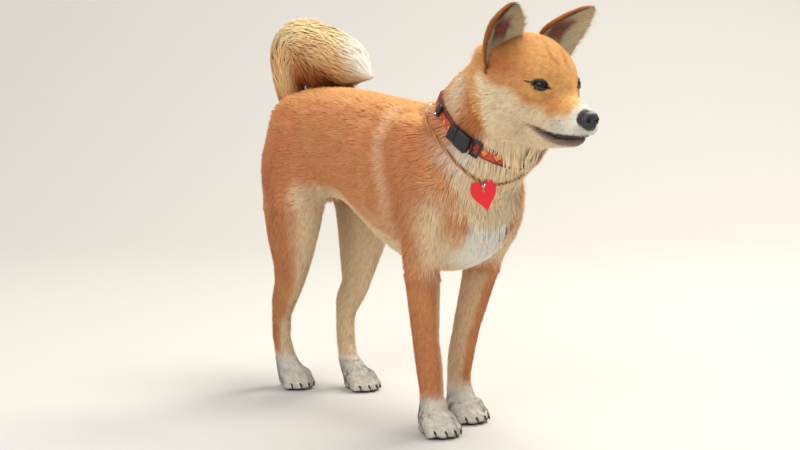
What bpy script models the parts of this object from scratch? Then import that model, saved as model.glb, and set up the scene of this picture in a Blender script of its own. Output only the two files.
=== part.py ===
"""A standing shiba inu, life size, with its collar, cord and heart tag.

Metres. +X is the way the dog faces, +Y its left side, +Z up. The origin is on
the floor, under the middle of the model's box. Every form is closed, the forms
of flesh are fused into one skin, and the skin is parted by thin cuts.
"""
import math

import bmesh
import bpy
import numpy as np
from mathutils import Matrix, Vector
from mathutils.bvhtree import BVHTree

# Driving sizes
GAP = 0.0003
WITHERS_X, WITHERS_Z = 0.015, 0.386
RUMP_X, CHEST_X = -0.299, 0.144
BARREL_HALF_WIDTH = 0.077
HEAD_AT = Vector((0.2585, 0.0032, 0.4175))
HEAD_YAW = math.radians(3.0)
HEAD_PITCH = math.radians(0.0)
EYE_SPACING = 0.0450
EYE_RADIUS = 0.0090
TAIL_ROOT = Vector((-0.290, -0.014, 0.373))
TAIL_HEADING = math.radians(35.0)

BODY_VOXEL, HEAD_VOXEL, PAW_VOXEL, NOSE_VOXEL = 0.0035, 0.0020, 0.0016, 0.0010
BODY_TRIANGLES, HEAD_TRIANGLES, PAW_TRIANGLES, NOSE_TRIANGLES = 2650, 1250, 300, 240

Y_AXIS, Z_AXIS = Vector((0, 1, 0)), Vector((0, 0, 1))
HEAD_FRAME = (Matrix.Translation(HEAD_AT) @ Matrix.Rotation(HEAD_YAW, 4, "Z")
              @ Matrix.Rotation(HEAD_PITCH, 4, "Y"))


def new_object(name, points, faces):
    mesh = bpy.data.meshes.new(name)
    mesh.from_pydata([tuple(p) for p in points], [], faces)
    mesh.update()
    obj = bpy.data.objects.new(name, mesh)
    bpy.context.scene.collection.objects.link(obj)
    return obj


def discard(objects):
    for obj in objects:
        bpy.data.objects.remove(obj)


def catmull(rows, steps):
    """Rows of numbers, made denser along a smooth curve through them."""
    rows = np.array(rows, float)
    ends = np.vstack([2 * rows[0] - rows[1], rows, 2 * rows[-1] - rows[-2]])
    out = []
    for i in range(1, len(ends) - 2):
        before, here, there, after = ends[i - 1:i + 3]
        for k in range(steps):
            t = k / steps
            out.append(0.5 * (2 * here + (there - before) * t
                              + (2 * before - 5 * here + 4 * there - after) * t ** 2
                              + (3 * here - before - 3 * there + after) * t ** 3))
    out.append(rows[-1])
    return np.array(out)


def skin_tube(name, rings):
    """A closed mesh through rings that all have the same number of points."""
    count = len(rings[0])
    points = [p for ring in rings for p in ring]
    faces = []
    for i in range(len(rings) - 1):
        for j in range(count):
            k = (j + 1) % count
            faces.append((i * count + j, i * count + k, (i + 1) * count + k, (i + 1) * count + j))
    faces.append(tuple(reversed(range(count))))
    faces.append(tuple((len(rings) - 1) * count + j for j in range(count)))
    return new_object(name, points, faces)


def oval(centre, along, half_up, half_side, egg=0.0, sides=20):
    """A ring square to the way along. egg widens the side that up points to."""
    along = Vector(along).normalized()
    side = (Y_AXIS - along * along.y).normalized()
    up = along.cross(side)
    ring = []
    for i in range(sides):
        a = math.tau * i / sides
        width = half_side * (1 + egg * math.sin(a))
        ring.append(Vector(centre) + side * width * math.cos(a) + up * half_up * math.sin(a))
    return ring


def loft(name, stations, sides=20, steps=4):
    """A closed limb or barrel. A station is x, y, z, half up, half side, egg."""
    rows = catmull(stations, steps)
    centres = [Vector(r[:3]) for r in rows]
    rings = []
    for i, row in enumerate(rows):
        along = centres[min(i + 1, len(rows) - 1)] - centres[max(i - 1, 0)]
        rings.append(oval(centres[i], along, max(row[3], 0.0005), max(row[4], 0.0005), row[5], sides))
    return skin_tube(name, rings)


def ball(name, centre, radii, turn=(0, 0, 0), frame=Matrix.Identity(4), levels=3):
    """An ellipsoid, turned by Euler degrees, in the given frame."""
    bm = bmesh.new()
    bmesh.ops.create_icosphere(bm, subdivisions=levels, radius=1.0)
    mesh = bpy.data.meshes.new(name)
    bm.to_mesh(mesh)
    bm.free()
    obj = bpy.data.objects.new(name, mesh)
    bpy.context.scene.collection.objects.link(obj)
    turned = Matrix.Rotation(math.radians(turn[2]), 4, "Z") @ Matrix.Rotation(
        math.radians(turn[1]), 4, "Y") @ Matrix.Rotation(math.radians(turn[0]), 4, "X")
    mesh.transform(frame @ Matrix.Translation(centre) @ turned @ Matrix.Diagonal((*radii, 1)))
    return obj


def join(name, objects):
    """The pieces as one mesh object, still overlapping."""
    bm = bmesh.new()
    for obj in objects:
        part = bmesh.new()
        part.from_mesh(obj.data)
        part.transform(obj.matrix_world)
        mesh = bpy.data.meshes.new("part")
        part.to_mesh(mesh)
        part.free()
        bm.from_mesh(mesh)
        bpy.data.meshes.remove(mesh)
    mesh = bpy.data.meshes.new(name)
    bm.to_mesh(mesh)
    bm.free()
    joined = bpy.data.objects.new(name, mesh)
    bpy.context.scene.collection.objects.link(joined)
    discard(objects)
    return joined


def bake_modifiers(obj):
    """Leaves the mesh as its modifiers make it."""
    graph = bpy.context.evaluated_depsgraph_get()
    mesh = bpy.data.meshes.new_from_object(obj.evaluated_get(graph))
    obj.modifiers.clear()
    obj.data = mesh
    return obj


def fuse(name, pieces, voxel, smoothing, triangles):
    """Overlapping closed forms made one skin, with their creases filled."""
    obj = join(name, pieces)
    remesh = obj.modifiers.new("one skin", "REMESH")
    remesh.mode = "VOXEL"
    remesh.voxel_size = voxel
    smooth = obj.modifiers.new("fillets", "SMOOTH")
    smooth.factor = 0.5
    smooth.iterations = smoothing
    bake_modifiers(obj)
    thin = obj.modifiers.new("fewer faces", "DECIMATE")
    thin.ratio = min(1.0, triangles / (2.0 * len(obj.data.polygons)))
    thin.use_collapse_triangulate = True
    return bake_modifiers(obj)


def boolean(obj, other, operation, solver="MANIFOLD"):
    """Joins, cuts or trims obj by one object or a list of them."""
    modifier = obj.modifiers.new(operation.lower(), "BOOLEAN")
    modifier.operation = operation
    modifier.solver = solver
    others = other if isinstance(other, list) else [other]
    if len(others) == 1:
        modifier.object = others[0]
    else:
        group = bpy.data.collections.new("operands")
        for each in others:
            group.objects.link(each)
        modifier.operand_type = "COLLECTION"
        modifier.collection = group
    bake_modifiers(obj)
    if len(others) > 1:
        bpy.data.collections.remove(group)
    return obj


def copy_of(obj, name):
    twin = obj.copy()
    twin.data = obj.data.copy()
    twin.name = name
    bpy.context.scene.collection.objects.link(twin)
    return twin


def swollen(obj, by):
    """A copy whose surface stands out by a little, to cut a clear seat with."""
    twin = copy_of(obj, "seat")
    normals = [v.normal.copy() for v in twin.data.vertices]
    for vertex, normal in zip(twin.data.vertices, normals):
        vertex.co += normal * by
    return twin


def clear_of(obj, other, by=0.0004):
    cutter = swollen(other, by)
    boolean(obj, cutter, "DIFFERENCE")
    discard([cutter])
    return keep_largest(obj)


def keep_largest(obj):
    """Drops every closed surface of the mesh but the largest."""
    bm = bmesh.new()
    bm.from_mesh(obj.data)
    left = set(bm.faces)
    groups = []
    while left:
        stack = [left.pop()]
        group = list(stack)
        while stack:
            for edge in stack.pop().edges:
                for face in edge.link_faces:
                    if face in left:
                        left.remove(face)
                        stack.append(face)
                        group.append(face)
        groups.append(group)
    groups.sort(key=lambda g: sum(f.calc_area() for f in g))
    bmesh.ops.delete(bm, geom=[f for g in groups[:-1] for f in g], context="FACES")
    bm.to_mesh(obj.data)
    bm.free()
    return obj


def block(low, high, frame=Matrix.Identity(4)):
    """A box between two corners of the frame."""
    low, high = Vector(low), Vector(high)
    corners = [frame @ Vector((x, y, z)) for x in (low.x, high.x)
               for y in (low.y, high.y) for z in (low.z, high.z)]
    faces = [(0, 1, 3, 2), (4, 6, 7, 5), (0, 4, 5, 1), (2, 3, 7, 6), (0, 2, 6, 4), (1, 5, 7, 3)]
    return new_object("block", corners, faces)


def prism(outline, low, high, frame=Matrix.Identity(4)):
    """An outline in the frame's first two axes, as thick as low to high."""
    bm = bmesh.new()
    base = [bm.verts.new(frame @ Vector((x, y, low))) for x, y in outline]
    top = [bm.verts.new(frame @ Vector((x, y, high))) for x, y in outline]
    bm.faces.new(base)
    bm.faces.new(top)
    for i in range(len(base)):
        j = (i + 1) % len(base)
        bm.faces.new((base[i], base[j], top[j], top[i]))
    bmesh.ops.recalc_face_normals(bm, faces=bm.faces)
    mesh = bpy.data.meshes.new("prism")
    bm.to_mesh(mesh)
    bm.free()
    obj = bpy.data.objects.new("prism", mesh)
    bpy.context.scene.collection.objects.link(obj)
    return obj


# Flesh. Stations run along each part: x, y, z, half up, half side, egg.
BARREL = [
    (RUMP_X, 0, 0.308, 0.028, 0.030, 0.0),
    (-0.284, 0, 0.315, 0.056, 0.053, 0.0),
    (-0.250, 0, 0.320, 0.070, 0.067, 0.0),
    (-0.170, 0, 0.3235, 0.0705, 0.064, 0.0),
    (-0.110, 0, 0.3160, 0.0760, 0.062, 0.0),
    (-0.050, 0, 0.3010, 0.0875, 0.070, 0.07),
    (0.000, 0, 0.2890, 0.0960, BARREL_HALF_WIDTH, 0.14),
    (0.050, 0, 0.2855, 0.0985, 0.075, 0.18),
    (0.095, 0, 0.2880, 0.0860, 0.068, 0.12),
    (0.126, 0, 0.294, 0.058, 0.054, 0.0),
    (CHEST_X, 0, 0.298, 0.030, 0.032, 0.0),
]
NECK = [
    (0.078, 0, 0.314, 0.073, 0.066, 0.0),
    (0.110, 0, 0.3435, 0.0735, 0.061, 0.0),
    (0.144, 0.002, 0.372, 0.073, 0.058, 0.0),
    (0.176, 0.004, 0.392, 0.0685, 0.058, 0.0),
    (0.203, 0.004, 0.403, 0.0600, 0.054, 0.0),
]
FORELEG_SIZES = [
    # height, fore and aft radius, side radius
    (0.300, 0.044, 0.024), (0.260, 0.040, 0.0250), (0.218, 0.0300, 0.0225),
    (0.185, 0.0240, 0.0200), (0.150, 0.0210, 0.0182), (0.112, 0.0182, 0.0160),
    (0.078, 0.0180, 0.0160), (0.052, 0.0162, 0.0150), (0.030, 0.0170, 0.0160),
    (0.014, 0.0180, 0.0170),
]
FORELEG_LINES = {
    # the leg's middle at each height: x, distance from the midline
    "right": [(0.080, 0.053), (0.081, 0.054), (0.070, 0.050), (0.067, 0.047), (0.066, 0.044),
              (0.064, 0.040), (0.067, 0.037), (0.070, 0.036), (0.074, 0.036), (0.078, 0.036)],
    "left": [(0.078, 0.053), (0.074, 0.056), (0.056, 0.053), (0.045, 0.051), (0.035, 0.048),
             (0.024, 0.045), (0.016, 0.043), (0.014, 0.041), (0.019, 0.040), (0.028, 0.039)],
}
HINDLEG_SIZES = [
    (0.345, 0.044, 0.027), (0.300, 0.060, 0.033), (0.250, 0.056, 0.032),
    (0.203, 0.046, 0.027), (0.163, 0.0345, 0.0190), (0.134, 0.0255, 0.0145),
    (0.112, 0.0225, 0.0128), (0.092, 0.0175, 0.0120), (0.068, 0.0158, 0.0120),
    (0.038, 0.0158, 0.0130), (0.015, 0.0180, 0.0160),
]
HINDLEG_LINES = {
    "right": [(-0.232, 0.042), (-0.228, 0.047), (-0.223, 0.051), (-0.230, 0.050), (-0.242, 0.045),
              (-0.257, 0.041), (-0.275, 0.037), (-0.283, 0.035), (-0.286, 0.033),
              (-0.281, 0.030), (-0.270, 0.029)],
    "left": [(-0.222, 0.042), (-0.219, 0.047), (-0.216, 0.050), (-0.219, 0.050), (-0.221, 0.045),
             (-0.224, 0.041), (-0.235, 0.037), (-0.239, 0.036), (-0.239, 0.036),
             (-0.231, 0.036), (-0.212, 0.036)],
}
PAWS = {
    # middle of the foot on the floor: x, y, heading in degrees, size
    "front_paw_right": (0.080, -0.036, -3, 1.0),
    "front_paw_left": (0.031, 0.037, 4, 1.0),
    "hind_paw_right": (-0.265, -0.027, -3, 0.92),
    "hind_paw_left": (-0.206, 0.036, 4, 0.92),
}
SIDES = {"right": -1, "left": 1}


def leg_stations(sizes, line, side):
    return [(x, side * y, height, fore, half, 0.0)
            for (height, fore, half), (x, y) in zip(sizes, line)]


def flesh_forms():
    """The dog without its ears, toes and tail brush, as overlapping forms."""
    forms = [loft("barrel", BARREL), loft("neck", NECK)]
    for name, side in SIDES.items():
        forms.append(loft("foreleg", leg_stations(FORELEG_SIZES, FORELEG_LINES[name], side)))
        forms.append(loft("hindleg", leg_stations(HINDLEG_SIZES, HINDLEG_LINES[name], side)))
        forms.append(ball("blade", (0.058, side * 0.050, 0.312), (0.046, 0.030, 0.066), (0, -18, 0)))
        forms.append(ball("croup", (-0.240, side * 0.028, 0.348), (0.050, 0.036, 0.036)))
        forms.append(ball("buttock", (-0.276, side * 0.037, 0.292), (0.026, 0.027, 0.054), (0, 8, 0)))
        shin_x = HINDLEG_LINES[name][3][0]
        forms.append(ball("stifle", (shin_x + 0.030, side * 0.050, 0.222), (0.024, 0.020, 0.034), (0, 15, 0)))
        hock_x = HINDLEG_LINES[name][6][0]
        forms.append(ball("hock", (hock_x - 0.012, side * 0.0365, 0.113), (0.0105, 0.0085, 0.016), (0, -12, 0)))
    forms.append(ball("withers", (WITHERS_X + 0.02, 0, WITHERS_Z - 0.032), (0.060, 0.040, 0.034)))
    return forms + head_forms()


def tail_line():
    """The brush's middle and radius from root to tip, in the dog's axes."""
    # along the heading, height above the root, radius
    shape = [(0.016, -0.030, 0.017), (0.002, 0.000, 0.0185), (-0.004, 0.028, 0.0205), (-0.002, 0.052, 0.0270),
             (0.012, 0.072, 0.0335), (0.040, 0.063, 0.0360),
             (0.070, 0.051, 0.0340), (0.092, 0.041, 0.0260), (0.106, 0.034, 0.0090)]
    way = Vector((math.cos(TAIL_HEADING), math.sin(TAIL_HEADING), 0))
    return [(*(TAIL_ROOT + way * t + Z_AXIS * z), radius) for t, z, radius in shape]


TAIL_CORE = 0.50
LOCK_LENGTH, LOCK_WIDTH, LOCK_THICKNESS = 0.054, 0.0280, 0.0066
LONGEST_LOCK, STRAIGHT_ENOUGH = 0.062, 0.72
LOCK_ROOT, LOCK_STEP, FIRST_LOCKS, LAST_TIP = 0.28, 0.0300, 0.034, 0.006
LOCK_SHAPE = [(0.0, 0.60), (0.36, 1.00), (0.74, 0.68)]


class TailAxis:
    """The brush's middle by distance from its root, with its radius."""

    def __init__(self):
        rows = catmull(tail_line(), 8)
        self.points, self.radii = rows[:, :3], rows[:, 3]
        steps = np.linalg.norm(np.diff(self.points, axis=0), axis=1)
        self.marks = np.concatenate([[0], np.cumsum(steps)])
        self.length = self.marks[-1]
        self.side = Vector((-math.sin(TAIL_HEADING), math.cos(TAIL_HEADING), 0))

    def at(self, mark):
        """The middle, the way along it and the radius. Past the tip the axis runs on straight."""
        near = min(mark, self.length - 0.009)
        ends = (near - 0.009, near + 0.009)
        behind, before = (Vector([np.interp(m, self.marks, self.points[:, k]) for k in range(3)]) for m in ends)
        along = (before - behind).normalized()
        inside = min(max(mark, 0), self.length)
        middle = Vector([np.interp(inside, self.marks, self.points[:, k]) for k in range(3)])
        return middle + along * (mark - inside), along, float(np.interp(inside, self.marks, self.radii))

    def place(self, mark, angle, share):
        """A point at a share of the radius, with the ways out of and around the brush."""
        middle, along, radius = self.at(mark)
        over = along.cross(self.side).normalized()
        out = self.side * math.cos(angle) + over * math.sin(angle)
        return middle + out * radius * share, out, along.cross(out)

    def runs_straight(self, mark, angle, length, swirl):
        """Whether a lock there has room. Inside the sharpest bend of the tail it would fold onto itself."""
        shares = (0, 0.25, 0.5, 0.75, 1)
        points = [self.place(mark + length * s, angle + swirl * s, lock_share(s))[0] for s in shares]
        steps = [(b - a).length for a, b in zip(points, points[1:])]
        return min(steps) > STRAIGHT_ENOUGH * length / len(steps)


def lock_share(s):
    """How far out a lock lies at a share of its length: from the core to the brush's surface."""
    return LOCK_ROOT + (1 - LOCK_ROOT) * (1 - (1 - s) ** 1.8)


def tail_lock(axis, mark, angle, length, swirl):
    """A flat, tapered lock that leaves the core and bends over along the brush."""
    root = axis.place(mark, angle, LOCK_ROOT)[0]
    for _ in range(4):
        reach = (axis.place(mark + length, angle + swirl, 1.0)[0] - root).length
        length *= min(1.0, LONGEST_LOCK / reach)
    rings = []
    for s, size in LOCK_SHAPE:
        point, out, around = axis.place(mark + length * s, angle + swirl * s, lock_share(s))
        half_width, half_height = LOCK_WIDTH / 2 * size, LOCK_THICKNESS / 2 * size
        rings.append([point + around * half_width, point + out * half_height,
                      point - around * half_width, point - out * half_height])
    tip = axis.place(mark + length, angle + swirl, 1.0)[0]
    count = len(rings[0])
    points = [p for ring in rings for p in ring] + [tip]
    faces = [tuple(reversed(range(count)))]
    for i in range(len(rings) - 1):
        for j in range(count):
            k = (j + 1) % count
            faces.append((i * count + j, i * count + k, (i + 1) * count + k, (i + 1) * count + j))
    last = (len(rings) - 1) * count
    for j in range(count):
        faces.append((last + j, last + (j + 1) % count, len(points) - 1))
    lock = new_object("lock", points, faces)
    mesh_normals_out(lock)
    return lock


def tail_form():
    """A core half as thick as the brush, with rows of locks that overlap towards the tip."""
    core = loft("tail", [(x, y, z, r * TAIL_CORE, r * TAIL_CORE, 0) for x, y, z, r in tail_line()[:-1]], 12, 3)
    axis = TailAxis()
    random = np.random.default_rng(11)
    locks = []
    mark, row = FIRST_LOCKS, 0
    while mark < axis.length - 0.012:
        radius = axis.at(mark + LOCK_LENGTH / 2)[2]
        count = max(5, round(math.tau * radius / (LOCK_WIDTH * 0.92)))
        for k in range(count):
            angle = math.tau * (k + 0.5 * (row % 2)) / count + random.uniform(-0.10, 0.10)
            length = min(LOCK_LENGTH * random.uniform(0.85, 1.10), axis.length + LAST_TIP - mark)
            start, swirl = mark + random.uniform(-0.004, 0.004), random.uniform(-0.20, 0.20)
            if axis.runs_straight(start, angle, length, swirl):
                locks.append(tail_lock(axis, start, angle, length, swirl))
        mark += LOCK_STEP
        row += 1
    boolean(core, locks, "UNION")
    discard(locks)
    return keep_largest(core)


def head_ball(centre, radii, turn=(0, 0, 0)):
    return ball("form", centre, radii, turn, HEAD_FRAME)


def head_loft(stations, sides=20):
    """A loft whose stations are given from the point between the eyes."""
    obj = loft("form", stations, sides)
    obj.data.transform(HEAD_FRAME)
    return obj


SKULL = [
    (-0.115, 0, -0.006, 0.044, 0.040, 0.0),
    (-0.095, 0, -0.006, 0.058, 0.052, -0.04),
    (-0.070, 0, -0.008, 0.0655, 0.0600, -0.10),
    (-0.045, 0, -0.009, 0.0640, 0.0585, -0.15),
    (-0.025, 0, -0.012, 0.0570, 0.0490, -0.14),
    (-0.008, 0, -0.018, 0.0450, 0.0370, -0.22),
    (0.006, 0, -0.025, 0.0310, 0.0240, -0.52),
    (0.016, 0, -0.031, 0.0200, 0.0190, -0.40),
]
MUZZLE = [
    (-0.030, 0, -0.028, 0.034, 0.040, -0.05),
    (-0.006, 0, -0.0300, 0.0290, 0.0300, -0.10),
    (0.012, 0, -0.0340, 0.0255, 0.0235, -0.14),
    (0.030, 0, -0.0370, 0.0215, 0.0200, -0.16),
    (0.044, 0, -0.0400, 0.0168, 0.0168, -0.10),
    (0.0505, 0, -0.0408, 0.0120, 0.0120, 0.0),
]
JAW = [
    (-0.050, 0, -0.046, 0.026, 0.036, 0.0),
    (-0.018, 0, -0.0540, 0.0175, 0.0270, 0.0),
    (0.008, 0, -0.0570, 0.0125, 0.0195, 0.0),
    (0.026, 0, -0.0570, 0.0100, 0.0145, 0.0),
    (0.0365, 0, -0.0555, 0.0070, 0.0100, 0.0),
]


def head_forms():
    forms = [
        head_loft(SKULL),
        head_ball((-0.016, 0, 0.014), (0.025, 0.030, 0.023)),
        head_loft(MUZZLE),
        head_loft(JAW),
    ]
    for side in SIDES.values():
        forms.append(head_ball((-0.048, side * 0.031, -0.034), (0.035, 0.031, 0.031)))
        forms.append(head_ball((-0.070, side * 0.036, 0.026), (0.022, 0.020, 0.018), (side * 20, 0, 0)))
        forms.append(head_ball((-0.014, side * 0.0215, 0.008), (0.016, 0.0120, 0.0120)))
        forms.append(head_ball((0.0335, side * 0.010, -0.0452), (0.0180, 0.0125, 0.0105)))
    return forms


ANKLE_Z = 0.040
FORELEG_TOP, HINDLEG_TOP = 0.190, 0.246
TOES = [(0.0150, -0.0170), (0.0225, -0.0062), (0.0225, 0.0062), (0.0150, 0.0170)]


def paw_frame(x, y, heading, size):
    return (Matrix.Translation((x, y, 0)) @ Matrix.Rotation(math.radians(heading), 4, "Z")
            @ Matrix.Scale(size, 4))


def paw_forms(frame, leg):
    """A foot of four toes and a heel, standing on the floor, with the leg's lower end."""
    forms = [ball("instep", (-0.006, 0, 0.020), (0.021, 0.0185, 0.018), (0, 20, 0), frame),
             ball("heel", (-0.013, 0, 0.008), (0.014, 0.0150, 0.011), frame=frame),
             loft("ankle", [s for s in leg if s[2] < 0.1])]
    for reach, across in TOES:
        forms.append(ball("knuckle", (reach - 0.010, across * 0.93, 0.0170), (0.0125, 0.0080, 0.0110),
                          (0, 28, 0), frame))
        forms.append(ball("toe", (reach, across, 0.0086), (0.0105, 0.0079, 0.0098), frame=frame))
    return forms


def claw(reach, across, frame):
    """A short curved claw, sunk into its toe at the thick end."""
    rows = [(reach + 0.0045, 0.0095, 0.0022), (reach + 0.0095, 0.0090, 0.0020), (reach + 0.0125, 0.0068, 0.0014),
            (reach + 0.0138, 0.0042, 0.0005)]
    obj = loft("claw", [(x, across, z, r, r * 0.7, 0) for x, z, r in rows], sides=6, steps=1)
    obj.data.transform(frame)
    return obj


def make_paw(name, spec, leg):
    frame = paw_frame(*spec)
    paw = fuse(name, paw_forms(frame, leg), PAW_VOXEL, 3, PAW_TRIANGLES)
    trim(paw, (-1, -1, -0.001), (1, 1, ANKLE_Z - GAP / 2))
    claws = [claw(reach, across, frame) for reach, across in TOES]
    boolean(paw, claws, "UNION")
    discard(claws)
    cut_box(paw, (-1, -1, -1), (1, 1, 0))
    return keep_largest(paw)


def trim(obj, low, high, frame=Matrix.Identity(4)):
    box = block(low, high, frame)
    boolean(obj, box, "INTERSECT")
    discard([box])
    return obj


def cut_box(obj, low, high, frame=Matrix.Identity(4)):
    box = block(low, high, frame)
    boolean(obj, box, "DIFFERENCE")
    discard([box])
    return obj


def take(whole, name, low, high, frame=Matrix.Identity(4)):
    """Cuts the box's share off the whole, with the gap shared between the two."""
    low, high = Vector(low), Vector(high)
    shift = Vector((GAP / 2,) * 3)
    piece = copy_of(whole, name)
    trim(piece, low + shift, high - shift, frame)
    cut_box(whole, low - shift, high + shift, frame)
    return keep_largest(piece)


def plane_frame(point, normal):
    """A frame whose third axis is the plane's normal."""
    return Matrix.Translation(point) @ Vector(normal).to_track_quat("Z", "Y").to_matrix().to_4x4()


# The head and neck part along a plane, given from the point between the eyes
HEAD_CUT = HEAD_FRAME @ Vector((-0.080, 0, -0.020))
HEAD_CUT_NORMAL = HEAD_FRAME.to_3x3() @ Vector((0.80, 0, 0.60))
NECK_CUT = Vector((0.088, 0, 0.330))
NECK_CUT_NORMAL = Vector((0.80, 0, 0.60))
TAIL_CUT = TAIL_ROOT + Vector((0.004, 0.003, -0.002))


EAR_EDGES = [
    # the inner edge and the outer edge: forward, sideways, up
    ((-0.064, 0.014, 0.024), (-0.0500, 0.0600, 0.014)),
    ((-0.057, 0.0135, 0.037), (-0.0445, 0.0635, 0.029)),
    ((-0.051, 0.0135, 0.048), (-0.0395, 0.0650, 0.043)),
    ((-0.0436, 0.0155, 0.058), (-0.0322, 0.0655, 0.056)),
    ((-0.0350, 0.0210, 0.066), (-0.0262, 0.0645, 0.065)),
    ((-0.0270, 0.0290, 0.0735), (-0.0190, 0.0625, 0.0730)),
    ((-0.0185, 0.0385, 0.0805), (-0.0122, 0.0605, 0.0798)),
    ((-0.0120, 0.0465, 0.0850), (-0.0092, 0.0580, 0.0844)),
    ((-0.0090, 0.0515, 0.0868), (-0.0080, 0.0550, 0.0866)),
]
EAR_BACK = Vector((-0.76, 0, 0.65))
EAR_THICKNESS = 0.0036
# How far each ear's tip is above or below the drawn edges, by side
EAR_LIFTS = {-1: 0.0018, 1: -0.0034}


def ear(name, side):
    """A pricked ear, as a cupped blade with its foot sunk in the head."""
    columns = 9
    back, front = [], []
    for i, (inner, outer) in enumerate(EAR_EDGES):
        t = i / (len(EAR_EDGES) - 1)
        lift = Z_AXIS * (EAR_LIFTS[side] * t)
        inner = Vector((inner[0], side * inner[1], inner[2])) + lift
        outer = Vector((outer[0], side * outer[1], outer[2])) + lift
        width = (outer - inner).length
        for j in range(columns):
            v = -1 + 2 * j / (columns - 1)
            arch = (0.25 - 0.07 * t) * width * (1 - v * v) ** 0.8
            thick = (EAR_THICKNESS - 0.0014 * t) * (1 - 0.55 * v * v)
            middle = inner.lerp(outer, (v + 1) / 2)
            back.append(HEAD_FRAME @ (middle + EAR_BACK * arch))
            front.append(HEAD_FRAME @ (middle + EAR_BACK * (arch - thick)))
    points = back + front
    rows = len(EAR_EDGES)
    size = rows * columns
    faces = []
    for i in range(rows - 1):
        for j in range(columns - 1):
            a = i * columns + j
            faces.append((a, a + 1, a + columns + 1, a + columns))
            faces.append((size + a, size + a + columns, size + a + columns + 1, size + a + 1))
    for i in range(rows - 1):
        for j in (0, columns - 1):
            a, b = i * columns + j, (i + 1) * columns + j
            faces.append((a, b, size + b, size + a))
    for j in range(columns - 1):
        for i in (0, rows - 1):
            a, b = i * columns + j, i * columns + j + 1
            faces.append((b, a, size + a, size + b))
    obj = new_object(name, points, faces)
    mesh_normals_out(obj)
    return obj


def mesh_normals_out(obj):
    bm = bmesh.new()
    bm.from_mesh(obj.data)
    bmesh.ops.recalc_face_normals(bm, faces=bm.faces)
    bm.to_mesh(obj.data)
    bm.free()


EYE_DEPTH = -0.0030
EYE_TURN = math.radians(36.0)
EYE_ROWS = 8


def eye_frame(side):
    """Axes of an eye: X out along its gaze, Y to the dog's left, Z up."""
    turn = Matrix.Rotation(side * EYE_TURN, 4, "Z") @ Matrix.Rotation(math.radians(-8), 4, "Y")
    return HEAD_FRAME @ Matrix.Translation((EYE_DEPTH, side * EYE_SPACING / 2, -0.0005)) @ turn


def gaze_ball(name, frame, radii):
    """An ellipsoid whose rings lie around the eye's gaze."""
    turns = [math.pi * k / EYE_ROWS for k in range(EYE_ROWS + 1)]
    rings = [(radii[0] * math.cos(a), 0, 0, radii[2] * math.sin(a), radii[1] * math.sin(a), 0) for a in turns]
    obj = loft(name, rings, sides=16, steps=1)
    obj.data.transform(frame)
    mesh_normals_out(obj)
    return obj


def almond(half_length, half_height, points=20):
    """The opening between the lids, with its outer corner lifted."""
    outline = []
    for i in range(points):
        a = math.tau * i / points
        x, y = math.cos(a), math.sin(a)
        outline.append((half_length * x, half_height * y * (1 - 0.42 * abs(x) ** 3)))
    return outline


def seat_eye(head, side):
    """Lids around an almond opening and a clear socket for the eyeball."""
    frame = eye_frame(side)
    lids = gaze_ball("lids", frame, (EYE_RADIUS + 0.0022, EYE_RADIUS + 0.0030, EYE_RADIUS + 0.0006))
    lids.data.transform(Matrix.Translation(frame.to_3x3() @ Vector((-0.0012, 0, 0))))
    boolean(head, lids, "UNION")
    slant = math.radians(14.0)
    look = Matrix(((0, 0, 1, 0), (1, 0, 0, 0), (0, 1, 0, 0), (0, 0, 0, 1)))
    opening = prism(almond(0.0090, 0.0046), 0.0005, 0.03,
                    frame @ look @ Matrix.Rotation(side * slant, 4, "Z"))
    socket = gaze_ball("socket", frame, (EYE_RADIUS + GAP,) * 3)
    boolean(head, opening, "DIFFERENCE")
    boolean(head, socket, "DIFFERENCE")
    discard([lids, opening, socket])
    return keep_largest(head)




MOUTH_HALF_GAP, MOUTH_DEPTH = 0.0008, 0.0040


def mouth_outline(half_gap):
    """The parting of the lips seen from the side, as wide as twice the half gap."""
    line = [(-0.0150, -0.0440, 0.35), (-0.006, -0.0480, 0.9), (0.006, -0.0525, 1.0), (0.018, -0.0550, 1.0),
            (0.032, -0.0550, 1.0), (0.045, -0.0540, 1.0), (0.080, -0.0530, 1.0)]
    over = [(x, z + half_gap * k) for x, z, k in line]
    under = [(x, z - half_gap * k) for x, z, k in reversed(line)]
    return over + under


def part_lips(head):
    side_on = HEAD_FRAME @ Matrix(((1, 0, 0, 0), (0, 0, 1, 0), (0, 1, 0, 0), (0, 0, 0, 1)))
    gap = prism(mouth_outline(MOUTH_HALF_GAP), -0.05, 0.05, side_on)
    inside = swollen(head, -MOUTH_DEPTH)
    boolean(gap, inside, "DIFFERENCE")
    boolean(head, gap, "DIFFERENCE")
    discard([gap, inside])
    return keep_largest(head)


def nose(name):
    """The leather of the nose with its two nostrils."""
    forms = [
        head_ball((0.0505, 0, -0.0335), (0.0100, 0.0112, 0.0080)),
        head_ball((0.0535, 0, -0.0395), (0.0070, 0.0075, 0.0085)),
    ]
    for side in SIDES.values():
        forms.append(head_ball((0.0503, side * 0.0064, -0.0360), (0.0086, 0.0062, 0.0066)))
    pad = fuse(name, forms, NOSE_VOXEL, 5, NOSE_TRIANGLES)
    for side in SIDES.values():
        hole = ball("hole", (0.0588, side * 0.0058, -0.0358), (0.0046, 0.0025, 0.0022), (0, 0, side * 40),
                    HEAD_FRAME, levels=1)
        boolean(pad, hole, "DIFFERENCE")
        discard([hole])
    return keep_largest(pad)


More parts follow.
